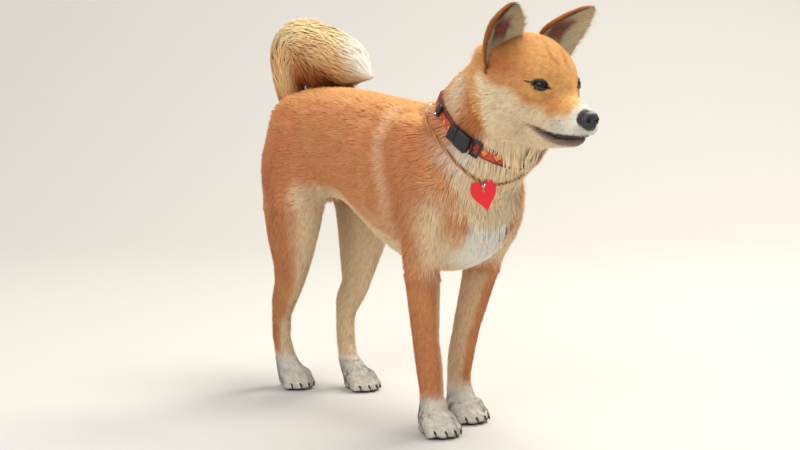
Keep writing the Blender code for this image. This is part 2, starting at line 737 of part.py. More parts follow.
# Collar. The band runs round the neck in a plane, and lies on the coat.
COLLAR_POINTS = [
    (0.044, 0.000, 0.402), (0.075, -0.042, 0.400), (0.1050, -0.050, 0.390), (0.1290, -0.0563, 0.3715),
    (0.1561, -0.0533, 0.3545), (0.1772, -0.0421, 0.3398), (0.1919, -0.0266, 0.3312), (0.1965, 0.0030, 0.3230),
    (0.1890, 0.0310, 0.3310), (0.1750, 0.0470, 0.3400), (0.1540, 0.0580, 0.3545), (0.1325, 0.0600, 0.3723),
    (0.1080, 0.0540, 0.391), (0.075, 0.045, 0.400),
]
STRAP_WIDTH, STRAP_THICKNESS = 0.0150, 0.0018


def hug(points, surface, stand_off):
    """A closed line of points moved onto the surface around its own middle."""
    middle = sum((Vector(p) for p in points), Vector()) / len(points)
    tree = BVHTree.FromPolygons([v.co.copy() for v in surface.data.vertices],
                                [tuple(p.vertices) for p in surface.data.polygons])
    out = []
    for point in points:
        way = (Vector(point) - middle).normalized()
        hit = tree.ray_cast(middle + way * 0.2, -way)[0]
        out.append(hit + way * stand_off)
    return out


def closed_catmull(points, count):
    """A closed smooth line with evenly spaced points."""
    rows = np.array([tuple(p) for p in points])
    dense = catmull(np.vstack([rows[-2:], rows, rows[:3]]), 16)
    dense = dense[32:32 + 16 * len(rows) + 1]
    lengths = np.concatenate([[0], np.cumsum(np.linalg.norm(np.diff(dense, axis=0), axis=1))])
    marks = np.linspace(0, lengths[-1], count, endpoint=False)
    return [Vector([np.interp(m, lengths, dense[:, k]) for k in range(3)]) for m in marks]


def smooth_closed(points, rounds):
    for _ in range(rounds):
        points = [(points[i - 1] + points[i] * 2 + points[(i + 1) % len(points)]) / 4
                  for i in range(len(points))]
    return points


def closed_sweep(name, line, sections):
    """A ring-shaped solid: one section of points at every point of the line."""
    count = len(sections[0])
    points = [p for section in sections for p in section]
    faces = []
    for i in range(len(line)):
        for j in range(count):
            k = (j + 1) % count
            n = (i + 1) % len(line)
            faces.append((i * count + j, i * count + k, n * count + k, n * count + j))
    obj = new_object(name, points, faces)
    mesh_normals_out(obj)
    return obj


def ring_axes(line, i, middle):
    """Along, out and across at one point of a closed line."""
    along = (line[(i + 1) % len(line)] - line[i - 1]).normalized()
    out = (line[i] - middle)
    out = (out - along * out.dot(along)).normalized()
    across = along.cross(out).normalized()
    return along, out, across


def band(name, line, width, thickness, lift=0.0):
    middle = sum(line, Vector()) / len(line)
    sections = []
    for i, point in enumerate(line):
        along, out, across = ring_axes(line, i, middle)
        low, high = lift, lift + thickness
        half = width / 2
        corner = min(thickness * 0.3, 0.0006)
        sections.append([point + out * h + across * w for h, w in [
            (low, -half), (low, half), (high - corner, half), (high, half - corner),
            (high, -half + corner), (high - corner, -half)]])
    return closed_sweep(name, line, sections)


def cord(name, line, radius, sides=6):
    middle = sum(line, Vector()) / len(line)
    sections = []
    for i, point in enumerate(line):
        along, out, across = ring_axes(line, i, middle)
        sections.append([point + out * radius * math.cos(math.tau * k / sides)
                         + across * radius * math.sin(math.tau * k / sides) for k in range(sides)])
    return closed_sweep(name, line, sections)


def torus(name, frame, radius, wire, around=20, sides=6):
    sections, line = [], []
    for i in range(around):
        a = math.tau * i / around
        out = Vector((math.cos(a), math.sin(a), 0))
        line.append(frame @ (out * radius))
        sections.append([frame @ (out * (radius + wire * math.cos(math.tau * k / sides))
                                  + Z_AXIS * wire * math.sin(math.tau * k / sides)) for k in range(sides)])
    return closed_sweep(name, line, sections)


def bevelled_box(name, size, frame, bevel=0.001):
    obj = block([-s / 2 for s in size], [s / 2 for s in size])
    bm = bmesh.new()
    bm.from_mesh(obj.data)
    bmesh.ops.recalc_face_normals(bm, faces=bm.faces)
    bmesh.ops.bevel(bm, geom=list(bm.edges), offset=bevel, segments=1, affect="EDGES", clamp_overlap=True)
    bm.transform(frame)
    bm.to_mesh(obj.data)
    bm.free()
    obj.name = name
    return obj


def collar_line(surface):
    hugged = hug(closed_catmull([Vector(p) for p in COLLAR_POINTS], 38), surface, 0)
    return smooth_closed(hugged, 4)


def frame_on(line, mark, lift):
    """X along the line, Y out of the neck, Z across, at the line's point nearest the mark."""
    middle = sum(line, Vector()) / len(line)
    i = min(range(len(line)), key=lambda k: (line[k] - Vector(mark)).length)
    along, out, across = ring_axes(line, i, middle)
    matrix = Matrix((along, out, across)).transposed().to_4x4()
    return Matrix.Translation(line[i] + out * lift) @ matrix


CORD_POINTS = [
    (0.030, 0.000, 0.390), (0.055, -0.040, 0.384), (0.088, -0.056, 0.366), (0.118, -0.0590, 0.350),
    (0.1372, -0.0544, 0.3307), (0.1458, -0.0488, 0.3204), (0.1557, -0.0370, 0.3081), (0.1618, -0.0225, 0.2994),
    (0.1670, -0.0095, 0.2985), (0.1775, 0.0040, 0.3062), (0.1830, 0.0200, 0.3160), (0.1740, 0.0410, 0.3270),
    (0.1500, 0.0560, 0.3400), (0.118, 0.0620, 0.3540), (0.085, 0.0570, 0.368), (0.055, 0.041, 0.384),
]
CORD_RADIUS = 0.0017
HEART_WIDTH, HEART_THICKNESS = 0.0300, 0.0016
HEART_STRETCH, HEART_TILT = 1.36, math.radians(13)
# The heart rests on the front of its ring, so that it hangs before the cord
HANG_LIFT, HOLE_DROP = math.radians(62), 0.135


def heart_outline(width, points=36):
    """A plain heart: two lobes and a point, its hole's middle near the notch."""
    outline = []
    for i in range(points):
        a = math.tau * i / points
        x = 16 * math.sin(a) ** 3
        y = 13 * math.cos(a) - 5 * math.cos(2 * a) - 2 * math.cos(3 * a) - math.cos(4 * a)
        outline.append((x * width / 32, y * width / 32 * HEART_STRETCH))
    return outline


def link_ring(name, middle, normal, along, radius, wire):
    """A ring about the normal, whose first axis lies along."""
    first = (along - normal * along.dot(normal)).normalized()
    frame = Matrix((first, normal.cross(first), normal)).transposed().to_4x4()
    return torus(name, Matrix.Translation(middle) @ frame, radius, wire)


def collar_parts(line):
    """The strap's buckle, slide, keeper and ring, each standing off the strap."""
    top = STRAP_THICKNESS + GAP
    # The buckle's two halves, side by side along the strap
    plug = frame_on(line, BUCKLE_AT, top + 0.0042)
    female = bevelled_box("buckle_socket", (0.0200, 0.0082, 0.0204), plug @ Matrix.Translation((0.0082, 0, 0)), 0.0016)
    for side in (-1, 1):
        cut_box(female, (-0.004, -0.0026, side * 0.0068 - 0.0022), (0.0035, 0.0026, side * 0.0068 + 0.0022),
                plug @ Matrix.Translation((0.0, 0, 0)))
    male = bevelled_box("buckle_plug", (0.0120, 0.0072, 0.0186), plug @ Matrix.Translation((-0.0081, 0, 0)), 0.0014)
    for side in (-1, 1):
        prong = bevelled_box("prong", (0.0060, 0.0040, 0.0034),
                             plug @ Matrix.Translation((-0.0005, 0, side * 0.0068)), 0.0006)
        boolean(male, prong, "UNION")
        discard([prong])
    keep_largest(male)
    # The slide, a flat frame with the strap seen through its window
    slide_frame = frame_on(line, SLIDE_AT, top + 0.0016)
    slide = bevelled_box("collar_slide", (0.0115, 0.0030, 0.0200), slide_frame, 0.0008)
    cut_box(slide, (-0.0033, -0.01, -0.0072), (0.0033, 0.01, 0.0072), slide_frame)
    # The keeper holds the ring, which stands out from the strap
    seat = frame_on(line, RING_AT, top + 0.0024)
    keeper = bevelled_box("ring_keeper", (0.0090, 0.0048, 0.0140), seat, 0.0012)
    along, out, across = (seat.col[i].to_3d() for i in range(3))
    ring = link_ring("collar_ring", seat.translation + out * RING_RADIUS, along, out, RING_RADIUS, RING_WIRE)
    clear_of(keeper, ring, 0.0003)
    for each in (female, male, slide, keeper):
        mesh_normals_out(each)
    return female, male, slide, keeper, ring


BUCKLE_AT = (0.1555, -0.0530, 0.3555)
SLIDE_AT = (0.1765, -0.0428, 0.3402)
RING_AT = (0.1140, -0.0530, 0.3850)
RING_RADIUS, RING_WIRE = 0.0074, 0.0010


def tag_parts(line):
    """A flat heart on a split ring that hangs from the cord."""
    i = min(range(len(line)), key=lambda k: (line[k] - Vector(TAG_NEAR)).length)
    point = line[i]
    along = (line[(i + 1) % len(line)] - line[i - 1]).normalized()
    middle = sum(line, Vector()) / len(line)
    out = (point - middle)
    out = (out - along * out.dot(along)).normalized()
    down = (Vector((0, 0, -1)) + out * 0.12).normalized()
    ring_radius, wire = 0.0052, 0.0007
    centre = point + down * (ring_radius - wire - CORD_RADIUS - 0.0006) + out * 0.0004
    ring = link_ring("tag_ring", centre, along, down, ring_radius, wire)
    # The heart hangs parallel to the cord, before it
    side = (along - down * along.dot(down)).normalized()
    face = side.cross(-down)
    scale = HEART_WIDTH
    hang = centre + (down * math.cos(HANG_LIFT) + out * math.sin(HANG_LIFT)) * ring_radius
    frame = Matrix((side, -down, face)).transposed().to_4x4() @ Matrix.Rotation(HEART_TILT, 4, "Z")
    heart = prism([(x, y - scale * HOLE_DROP) for x, y in heart_outline(scale)],
                  -HEART_THICKNESS / 2, HEART_THICKNESS / 2, Matrix.Translation(hang) @ frame)
    heart.name = "tag_heart"
    hole = [(0.0016 * math.cos(math.tau * k / 12), 0.0016 * math.sin(math.tau * k / 12) - 0.0004) for k in range(12)]
    drill = prism(hole, -0.01, 0.01, Matrix.Translation(hang) @ frame)
    boolean(heart, drill, "DIFFERENCE")
    discard([drill])
    clear_of(heart, ring, 0.0002)
    return ring, heart


TAG_NEAR = (0.1600, -0.0275, 0.3025)


def main():
    discard(list(bpy.data.objects))
    whole = fuse("whole", flesh_forms(), BODY_VOXEL, 14, BODY_TRIANGLES)
    outer = copy_of(whole, "outer")

    # Feet and legs
    legs = []
    for name, spec in PAWS.items():
        side = name.split("_")[-1]
        sign = SIDES[side]
        fore = name.startswith("front")
        sizes, lines = (FORELEG_SIZES, FORELEG_LINES) if fore else (HINDLEG_SIZES, HINDLEG_LINES)
        make_paw(name, spec, leg_stations(sizes, lines[side], sign))
        inner = 0.016 if fore else 0.012
        low_y, high_y = (inner, 0.2) if sign > 0 else (-0.2, -inner)
        low_x, high_x, top = (-0.05, 0.16, FORELEG_TOP) if fore else (-0.40, -0.11, HINDLEG_TOP)
        leg = take(whole, ("foreleg_" if fore else "hind_leg_") + side,
                   (low_x, low_y, -0.1), (high_x, high_y, top))
        cut_box(leg, (-1, -1, -1), (1, 1, ANKLE_Z + GAP / 2))
        keep_largest(leg)
        legs.append(leg)
    keep_largest(whole)

    # Head, with the eyes, the mouth and the nose
    head = fuse("head", head_forms() + [loft("neck", NECK)], HEAD_VOXEL, 22, HEAD_TRIANGLES)
    trim(head, (-1, -1, GAP / 2), (1, 1, 1), plane_frame(HEAD_CUT, HEAD_CUT_NORMAL))
    cut_box(whole, (-1, -1, -GAP / 2), (1, 1, 1), plane_frame(HEAD_CUT, HEAD_CUT_NORMAL))
    keep_largest(whole)
    part_lips(head)
    snout = nose("nose")
    clear_of(head, snout)
    for name, side in SIDES.items():
        seat_eye(head, side)
        gaze_ball("eye_" + name, eye_frame(side), (EYE_RADIUS,) * 3)
        blade = ear("ear_" + name, side)
        clear_of(head, blade)

    # Neck and tail
    neck = copy_of(whole, "neck")
    trim(neck, (-1, -1, GAP / 2), (1, 1, 1), plane_frame(NECK_CUT, NECK_CUT_NORMAL))
    keep_largest(neck)
    torso = whole
    torso.name = "torso"
    cut_box(torso, (-1, -1, -GAP / 2), (1, 1, 1), plane_frame(NECK_CUT, NECK_CUT_NORMAL))
    keep_largest(torso)
    brush = tail_form()
    trim(brush, (-1, -1, 0), (1, 1, 1), plane_frame(TAIL_CUT, Z_AXIS))
    clear_of(brush, torso)
    brush.name = "tail"

    # Collar
    line = collar_line(outer)
    strap = band("collar_strap", line, STRAP_WIDTH, STRAP_THICKNESS)
    seat = band("seat", line, STRAP_WIDTH + 0.0010, STRAP_THICKNESS + 0.03, -0.0004)
    for node in (neck, torso, head):
        boolean(node, seat, "DIFFERENCE")
        keep_largest(node)
    discard([seat])
    fittings = collar_parts(line)

    # Cord and tag
    loop = smooth_closed(hug(closed_catmull([Vector(p) for p in CORD_POINTS], 38), outer, 0.0006), 2)
    string = cord("necklace_cord", loop, CORD_RADIUS)
    tag = tag_parts(loop)
    discard([outer])
    for node in (neck, torso, head):
        for piece in (*fittings, string, *tag):
            clear_of(node, piece)
    colour()


COAT_RED, COAT_CREAM, BLACK, SILVER = (0.55, 0.26, 0.10), (0.80, 0.68, 0.50), (0.02, 0.02, 0.022), (0.6, 0.6, 0.62)
COLOURS = {
    "tail": COAT_CREAM, "front_paw_left": COAT_CREAM, "front_paw_right": COAT_CREAM, "hind_paw_left": COAT_CREAM,
    "hind_paw_right": COAT_CREAM, "nose": BLACK, "eye_left": BLACK, "eye_right": BLACK, "buckle_socket": BLACK,
    "buckle_plug": BLACK, "collar_slide": BLACK, "ring_keeper": BLACK, "collar_ring": SILVER, "tag_ring": SILVER,
    "collar_strap": (0.60, 0.08, 0.03), "necklace_cord": (0.35, 0.17, 0.06), "tag_heart": (0.75, 0.02, 0.03),
}


def colour():
    """A plain colour for every node, and the coat's red for those not named."""
    for obj in bpy.data.objects:
        shade = bpy.data.materials.new(obj.name)
        shade.use_nodes = True
        base = shade.node_tree.nodes["Principled BSDF"].inputs["Base Color"]
        base.default_value = (*COLOURS.get(obj.name, COAT_RED), 1)
        obj.data.materials.clear()
        obj.data.materials.append(shade)


main()
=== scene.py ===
"""The looks of the standing shiba inu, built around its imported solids.

Metres, in the frame of the solids: +X is the way the dog faces, +Y its left side, +Z up. One skin, grown
from the solids of flesh, lies under the coat, which is tufts of solid mesh that follow the lie of the hair.
"""
import math

import bmesh
import bpy
import numpy as np
from mathutils import Matrix, Vector
from mathutils.bvhtree import BVHTree


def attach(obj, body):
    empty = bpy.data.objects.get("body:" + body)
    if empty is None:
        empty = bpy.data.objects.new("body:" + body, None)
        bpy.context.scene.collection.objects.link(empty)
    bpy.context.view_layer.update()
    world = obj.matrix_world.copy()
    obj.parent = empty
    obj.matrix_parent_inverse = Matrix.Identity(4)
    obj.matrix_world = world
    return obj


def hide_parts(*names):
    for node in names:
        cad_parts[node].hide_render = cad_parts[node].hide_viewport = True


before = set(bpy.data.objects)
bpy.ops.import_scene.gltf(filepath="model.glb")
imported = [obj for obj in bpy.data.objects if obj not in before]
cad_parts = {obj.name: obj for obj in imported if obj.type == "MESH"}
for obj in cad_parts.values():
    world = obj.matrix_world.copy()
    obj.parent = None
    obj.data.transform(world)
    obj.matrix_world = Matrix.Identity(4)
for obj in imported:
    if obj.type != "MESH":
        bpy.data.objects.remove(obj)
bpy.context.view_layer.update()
RANDOM = np.random.default_rng(11)

# Places repeated from the solids' source
HEAD_AT = Vector((0.2585, 0.0032, 0.4175))
HEAD_YAW = math.radians(3.0)
HEAD_FRAME = Matrix.Translation(HEAD_AT) @ Matrix.Rotation(HEAD_YAW, 4, "Z")
EYE_SPACING, EYE_RADIUS, EYE_DEPTH, EYE_HEIGHT = 0.0450, 0.0090, -0.0030, -0.0005
EYE_TURN, EYE_DROP, EYE_SLANT = math.radians(36.0), math.radians(-8.0), math.radians(14.0)
EYE_HALF_LENGTH, EYE_HALF_HEIGHT = 0.0090, 0.0046
TAIL_ROOT = Vector((-0.290, -0.014, 0.373))
TAIL_HEADING = math.radians(35.0)
SIDES = {"right": -1, "left": 1}
Z_AXIS = Vector((0, 0, 1))

FLESH = ["torso", "neck", "head", "foreleg_left", "foreleg_right", "hind_leg_left", "hind_leg_right",
         "front_paw_left", "front_paw_right", "hind_paw_left", "hind_paw_right"]
SKIN_VOXEL = 0.0021


def tone(red, green, blue):
    """A colour given as a screen shows it, 0 to 255, as Blender's linear values."""
    return np.array([((c / 255 + 0.055) / 1.055) ** 2.4 if c > 10 else c / 255 / 12.92
                     for c in (red, green, blue)])


RED_TAN = tone(212, 140, 92)
ORANGE = tone(212, 136, 74)
DEEP_RED = tone(184, 98, 58)
GOLD = tone(240, 188, 118)
CREAM = tone(244, 220, 180)
PINK_CREAM = tone(242, 208, 168)
BRUSH_PALE = tone(253, 220, 164)
# The colour of the painted shadow under and inside the tail's curl
TAIL_SHADOW_BROWN = tone(170, 92, 44)
WHITE = tone(248, 242, 228)
PAW_WHITE = tone(240, 233, 219)
EAR_SKIN = tone(150, 94, 84)
LIP_DARK = tone(52, 36, 34)
LIP_GREY = tone(150, 126, 116)
LID_DARK = tone(34, 24, 22)
PAD_GREY = tone(70, 58, 56)
EYE_WHITE, IRIS, PUPIL = tone(70, 54, 46), tone(38, 22, 16), tone(6, 5, 6)


# Small tools
def linked(name, data):
    """A new object for a mesh, lamp or camera, in the scene."""
    obj = bpy.data.objects.new(name, data)
    bpy.context.scene.collection.objects.link(obj)
    return obj


def new_object(name, points, faces):
    mesh = bpy.data.meshes.new(name)
    mesh.from_pydata([tuple(p) for p in points], [], faces)
    mesh.update()
    return linked(name, mesh)


def object_of(name, bm):
    mesh = bpy.data.meshes.new(name)
    bm.to_mesh(mesh)
    bm.free()
    return linked(name, mesh)


def finish_faces(bm):
    """Turns every face outwards and shades it smooth."""
    bmesh.ops.recalc_face_normals(bm, faces=bm.faces)
    for face in bm.faces:
        face.smooth = True


def fuse(obj, voxel):
    """Asks for one closed mesh in place of several that overlap."""
    remesh = obj.modifiers.new("fuse", "REMESH")
    remesh.mode = "VOXEL"
    remesh.voxel_size = voxel


def read(items, field, width, kind=np.float32):
    """One field of all a mesh's items, as rows."""
    values = np.empty(len(items) * width, kind)
    items.foreach_get(field, values)
    return values.reshape(-1, width)


def write(items, field, values, kind=np.float32):
    items.foreach_set(field, values.astype(kind).ravel())


def bake_modifiers(obj):
    """Leaves the mesh as its modifiers make it."""
    graph = bpy.context.evaluated_depsgraph_get()
    mesh = bpy.data.meshes.new_from_object(obj.evaluated_get(graph))
    obj.modifiers.clear()
    obj.data = mesh
    return obj


def ramp(x, low, high):
    """0 at low and 1 at high, with soft ends."""
    t = np.clip((x - low) / (high - low), 0, 1)
    return t * t * (3 - 2 * t)


def blob(points, centre, radii):
    """1 at a centre, fading out over the radii."""
    return np.exp(-(((points - np.array(centre)) / np.array(radii)) ** 2).sum(1))


def paint(colour, other, share):
    return colour + (other - colour) * np.clip(share, 0, 1)[:, None]


def unit(rows):
    return rows / np.maximum(np.linalg.norm(rows, axis=1, keepdims=True), 1e-9)


def along_skin(ways, normals):
    """Ways laid flat against the skin."""
    return unit(ways - normals * (ways * normals).sum(1, keepdims=True))


def mirrored(points):
    """Points of the right side taken over to the left."""
    return np.column_stack([points[:, 0], np.abs(points[:, 1]), points[:, 2]])


def blend(here, there, share):
    """Rows turned into other rows by a share for each."""
    share = share[:, None]
    return here * (1 - share) + there * share


def weighted(rows, weights):
    """One row for each triangle, from its three corners' rows and their shares."""
    if rows.ndim > weights.ndim:
        weights = weights[:, :, None]
    return (rows * weights).sum(1)


def ripple(points, wavelength, seed):
    """Smooth noise between about -1 and 1: a few crossing waves."""
    random = np.random.default_rng(seed)
    total = np.zeros(len(points))
    for _ in range(6):
        way = unit(random.normal(size=(1, 3)))[0]
        pace = math.tau / wavelength * random.uniform(0.7, 1.5)
        total += np.sin(points @ way * pace + random.uniform(0, 7))
    return total / 3


def catmull(rows, steps):
    """Rows of numbers, made denser along a smooth curve through them."""
    rows = np.array(rows, float)
    ends = np.vstack([2 * rows[0] - rows[1], rows, 2 * rows[-1] - rows[-2]])
    out = []
    for i in range(1, len(ends) - 2):
        before, here, there, after = ends[i - 1:i + 3]
        for k in range(steps):
            t = k / steps
            out.append(0.5 * (2 * here + (there - before) * t
                              + (2 * before - 5 * here + 4 * there - after) * t ** 2
                              + (3 * here - before - 3 * there + after) * t ** 3))
    out.append(rows[-1])
    return np.array(out)


def tube(name, line, radii, sides=10, closed=False, flat=1.0, up=Z_AXIS):
    """A round or flattened tube along a line of points, closed at its ends."""
    bm = bmesh.new()
    rings = []
    count = len(line)
    for i, point in enumerate(line):
        after = line[(i + 1) % count] if closed or i + 1 < count else line[i]
        before = line[i - 1] if closed or i > 0 else line[0]
        along = (Vector(after) - Vector(before)).normalized()
        side = along.cross(up).normalized()
        over = side.cross(along).normalized()
        ring = []
        for k in range(sides):
            a = math.tau * k / sides
            ring.append(bm.verts.new(Vector(point) + side * radii[i] * math.cos(a)
                                     + over * radii[i] * flat * math.sin(a)))
        rings.append(ring)
    for i in range(count if closed else count - 1):
        here, there = rings[i], rings[(i + 1) % count]
        for k in range(sides):
            bm.faces.new((here[k], here[(k + 1) % sides], there[(k + 1) % sides], there[k]))
    if not closed:
        bm.faces.new(rings[0])
        bm.faces.new(rings[-1])
    finish_faces(bm)
    return object_of(name, bm)


def tree_of(objects):
    """A search tree over the faces of several objects."""
    points, faces = [], []
    for obj in objects:
        start = len(points)
        points += [v.co.copy() for v in obj.data.vertices]
        faces += [tuple(start + i for i in p.vertices) for p in obj.data.polygons]
    return BVHTree.FromPolygons(points, faces)


# Materials
def shader_of(made):
    return made.node_tree.nodes["Principled BSDF"]


def material(name, colour, roughness, **sockets):
    made = bpy.data.materials.new(name)
    made.use_nodes = True
    shader = shader_of(made)
    shader.inputs["Base Color"].default_value = (*colour, 1)
    shader.inputs["Roughness"].default_value = roughness
    for socket, value in sockets.items():
        shader.inputs[socket.replace("_", " ")].default_value = value
    return made


def add_node(made, kind, **values):
    node = made.node_tree.nodes.new(kind)
    for key, value in values.items():
        if hasattr(node, key):
            setattr(node, key, value)
        else:
            node.inputs[key.replace("_", " ")].default_value = value
    return node


def wire(made, source, target):
    made.node_tree.links.new(source, target)


def add_pattern(made, kind, **values):
    """A texture that stays where it is in the frame."""
    node = add_node(made, kind, **values)
    wire(made, add_node(made, "ShaderNodeNewGeometry").outputs["Position"], node.inputs["Vector"])
    return node


def add_relief(made, height, strength, distance):
    """Fine relief on a material, from a node's output."""
    relief = add_node(made, "ShaderNodeBump", Strength=strength, Distance=distance)
    wire(made, height, relief.inputs["Height"])
    wire(made, relief.outputs["Normal"], shader_of(made).inputs["Normal"])


def attribute_material(name, roughness, noise_size, noise_share, bump=0.0, **sockets):
    """Colours stored on the mesh, broken up by fine noise in colour and relief."""
    made = material(name, (0.5, 0.5, 0.5), roughness, **sockets)
    stored = add_node(made, "ShaderNodeAttribute", attribute_name="coat")
    speckle = add_pattern(made, "ShaderNodeTexNoise", Scale=noise_size, Detail=3.0)
    span = add_node(made, "ShaderNodeMapRange", From_Min=0.3, From_Max=0.7, To_Min=1 - noise_share,
                    To_Max=1 + noise_share)
    wire(made, speckle.outputs["Fac"], span.inputs["Value"])
    mix = add_node(made, "ShaderNodeVectorMath", operation="SCALE")
    wire(made, stored.outputs["Color"], mix.inputs[0])
    wire(made, span.outputs["Result"], mix.inputs["Scale"])
    wire(made, mix.outputs["Vector"], shader_of(made).inputs["Base Color"])
    if bump:
        add_relief(made, speckle.outputs["Fac"], 0.6, bump)
    return made


def store_colour(mesh, colours):
    """Keeps a colour for each point, where attribute_material reads it."""
    data = mesh.color_attributes.new("coat", "FLOAT_COLOR", "POINT")
    rows = np.ones((len(colours), 4))
    rows[:, :3] = np.clip(colours, 0, 1)
    write(data.data, "color", rows)


def finish_piece(obj, look, replaced=()):
    """Gives a piece its material and body, and hides the solids that it stands for."""
    obj.data.materials.clear()
    obj.data.materials.append(look)
    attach(obj, "root")
    if replaced:
        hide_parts(*replaced)


# The skin
class TailAxis:
    """The brush's middle by distance from its root, with its outer radius, as in the solids."""

    SHAPE = [(0.016, -0.030, 0.017), (0.002, 0.000, 0.0185), (-0.004, 0.028, 0.0205), (-0.002, 0.052, 0.0270),
             (0.012, 0.072, 0.0335), (0.040, 0.063, 0.0360), (0.070, 0.051, 0.0340), (0.092, 0.041, 0.0260),
             (0.106, 0.034, 0.0090)]

    # The brush's outline closes over its last length, and a little past the axis's end
    CLOSING, OVERHANG = 0.018, 0.0075
    CLOSED_SHARE, FLARE = 0.985, 1.4
    STEP = 0.008

    def __init__(self):
        rows = catmull(self.SHAPE, 8)
        heading = np.array([math.cos(TAIL_HEADING), math.sin(TAIL_HEADING), 0])
        self.side = np.array([-heading[1], heading[0], 0])
        self.points = np.array(TAIL_ROOT) + rows[:, :1] * heading + rows[:, 1:2] * np.array([0, 0, 1.0])
        self.radii = rows[:, 2]
        self.marks = np.concatenate([[0], np.cumsum(np.linalg.norm(np.diff(self.points, axis=0), axis=1))])
        self.length = self.marks[-1]

    def middle(self, marks):
        return np.column_stack([np.interp(marks, self.marks, self.points[:, k]) for k in range(3)])

    def place(self, marks, angles, shares):
        """Points at shares of the radius, with the ways out of the brush and along it."""
        near = np.clip(marks, 0, self.length - self.STEP)
        along = unit(self.middle(near + self.STEP) - self.middle(near - self.STEP))
        inside = np.clip(marks, 0, self.length)
        middle = self.middle(inside) + along * (marks - inside)[:, None]
        over = unit(np.cross(along, self.side))
        out = self.side * np.cos(angles)[:, None] + over * np.sin(angles)[:, None]
        radius = np.interp(inside, self.marks, self.radii)
        past = np.clip((marks - self.length + self.CLOSING) / (self.CLOSING + self.OVERHANG), 0, 1)
        radius = radius * np.sqrt(1 - self.CLOSED_SHARE * past ** 2)
        out = unit(out + along * (self.FLARE * past ** 3)[:, None])
        return middle + out * (radius * shares)[:, None], out, along


TAIL = TailAxis()
# The core's radius in shares of the brush's, and how many points before the brush's end it stops
TAIL_CORE, TAIL_CORE_END = 0.45, 6


def tail_core():
    """The tail under its brush."""
    line = [Vector(p) for p in TAIL.points[:-TAIL_CORE_END]]
    radii = list(TAIL.radii[:-TAIL_CORE_END] * TAIL_CORE)
    return tube("tail core", line, radii, 14, up=Vector((0.3, -0.9, 0.1)))


def flesh_shell(overlap=0.0003):
    """The solids of flesh as one mesh, each swollen a little so that their gaps close."""
    whole = bmesh.new()
    owner = []
    for index, name in enumerate(FLESH):
        part = bmesh.new()
        part.from_mesh(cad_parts[name].data)
        bmesh.ops.remove_doubles(part, verts=part.verts, dist=0.00002)
        part.normal_update()
        moves = [v.normal * overlap for v in part.verts]
        for vertex, move in zip(part.verts, moves):
            vertex.co += move
        mesh = bpy.data.meshes.new("part")
        part.to_mesh(mesh)
        part.free()
        whole.from_mesh(mesh)
        owner += [index] * (len(whole.faces) - len(owner))
        bpy.data.meshes.remove(mesh)
    core = tail_core()
    whole.from_mesh(core.data)
    owner += [len(FLESH)] * (len(whole.faces) - len(owner))
    bpy.data.objects.remove(core)
    return object_of("skin", whole), np.array(owner)


def arrays_of(mesh):
    """A mesh's points and their normals."""
    points, normals = read(mesh.vertices, "co", 3), read(mesh.vertex_normals, "vector", 3)
    return points.astype(float), normals.astype(float)


def move_points(mesh, points):
    write(mesh.vertices, "co", points)
    mesh.update()


def neighbours_of(mesh):
    """For each vertex, its neighbours, padded with itself."""
    edges = read(mesh.edges, "vertices", 2, np.int32)
    both = np.vstack([edges, edges[:, ::-1]])
    both = both[np.argsort(both[:, 0], kind="stable")]
    counts = np.bincount(both[:, 0], minlength=len(mesh.vertices))
    starts = np.concatenate([[0], np.cumsum(counts)[:-1]])
    table = np.tile(np.arange(len(mesh.vertices))[:, None], (1, int(counts.max())))
    slots = np.arange(len(both)) - starts[both[:, 0]]
    table[both[:, 0], slots] = both[:, 1]
    return table


def spread(values, table, rounds):
    """Values averaged with their neighbours' several times."""
    for _ in range(rounds):
        values = 0.5 * values + 0.5 * values[table].mean(axis=1)
    return values


def seen_from(place, points):
    """Points given in the axes of a place."""
    back = np.array(place.inverted())
    return points @ back[:3, :3].T + back[:3, 3]


def in_head(points):
    """Points given from the place between the eyes: forward, left, up."""
    return seen_from(HEAD_FRAME, points)


def head_ways(ways):
    """Ways given in the head's axes, turned with the head."""
    turn = np.array(HEAD_FRAME.to_3x3())
    return ways @ turn.T


def eye_frame(side):
    """Axes of an eye: X out along its gaze, Y to the dog's left, Z up."""
    turn = Matrix.Rotation(side * EYE_TURN, 4, "Z") @ Matrix.Rotation(EYE_DROP, 4, "Y")
    return HEAD_FRAME @ Matrix.Translation((EYE_DEPTH, side * EYE_SPACING / 2, EYE_HEIGHT)) @ turn


def lid_frame(side):
    """Axes of the lids' opening, which slants across the eye."""
    return eye_frame(side) @ Matrix.Rotation(side * EYE_SLANT, 4, "X")


# How much the opening narrows at its corners, and the distance given to what lies behind the eye
LID_TAPER, FAR_FROM_LIDS = 0.42, 9.0


def almond_distance(points, side):
    """About 1 on the edge of the lids' opening, less inside it, and large behind the eye."""
    local = seen_from(lid_frame(side), points)
    reach = local[:, 1] / EYE_HALF_LENGTH
    rise = local[:, 2] / (EYE_HALF_HEIGHT * np.maximum(1 - LID_TAPER * np.abs(reach) ** 3, 0.3))
    return np.where(local[:, 0] > 0, np.sqrt(reach ** 2 + rise ** 2), FAR_FROM_LIDS)


def both_lids(points):
    """The almond's distance for whichever eye is nearer."""
    return np.minimum(almond_distance(points, -1), almond_distance(points, 1))


# The parting of the lips: its height by its reach forward
MOUTH_X = [-0.0150, -0.008, 0.004, 0.018, 0.032, 0.045, 0.080]
MOUTH_Z = [-0.0405, -0.0438, -0.0488, -0.0525, -0.0528, -0.0520, -0.0510]
# How far the dark lower lip reaches below the parting
MOUTH_BAND_X = [-0.015, -0.004, 0.014, 0.050]
MOUTH_BAND = [0.0015, 0.0050, 0.0072, 0.0070]


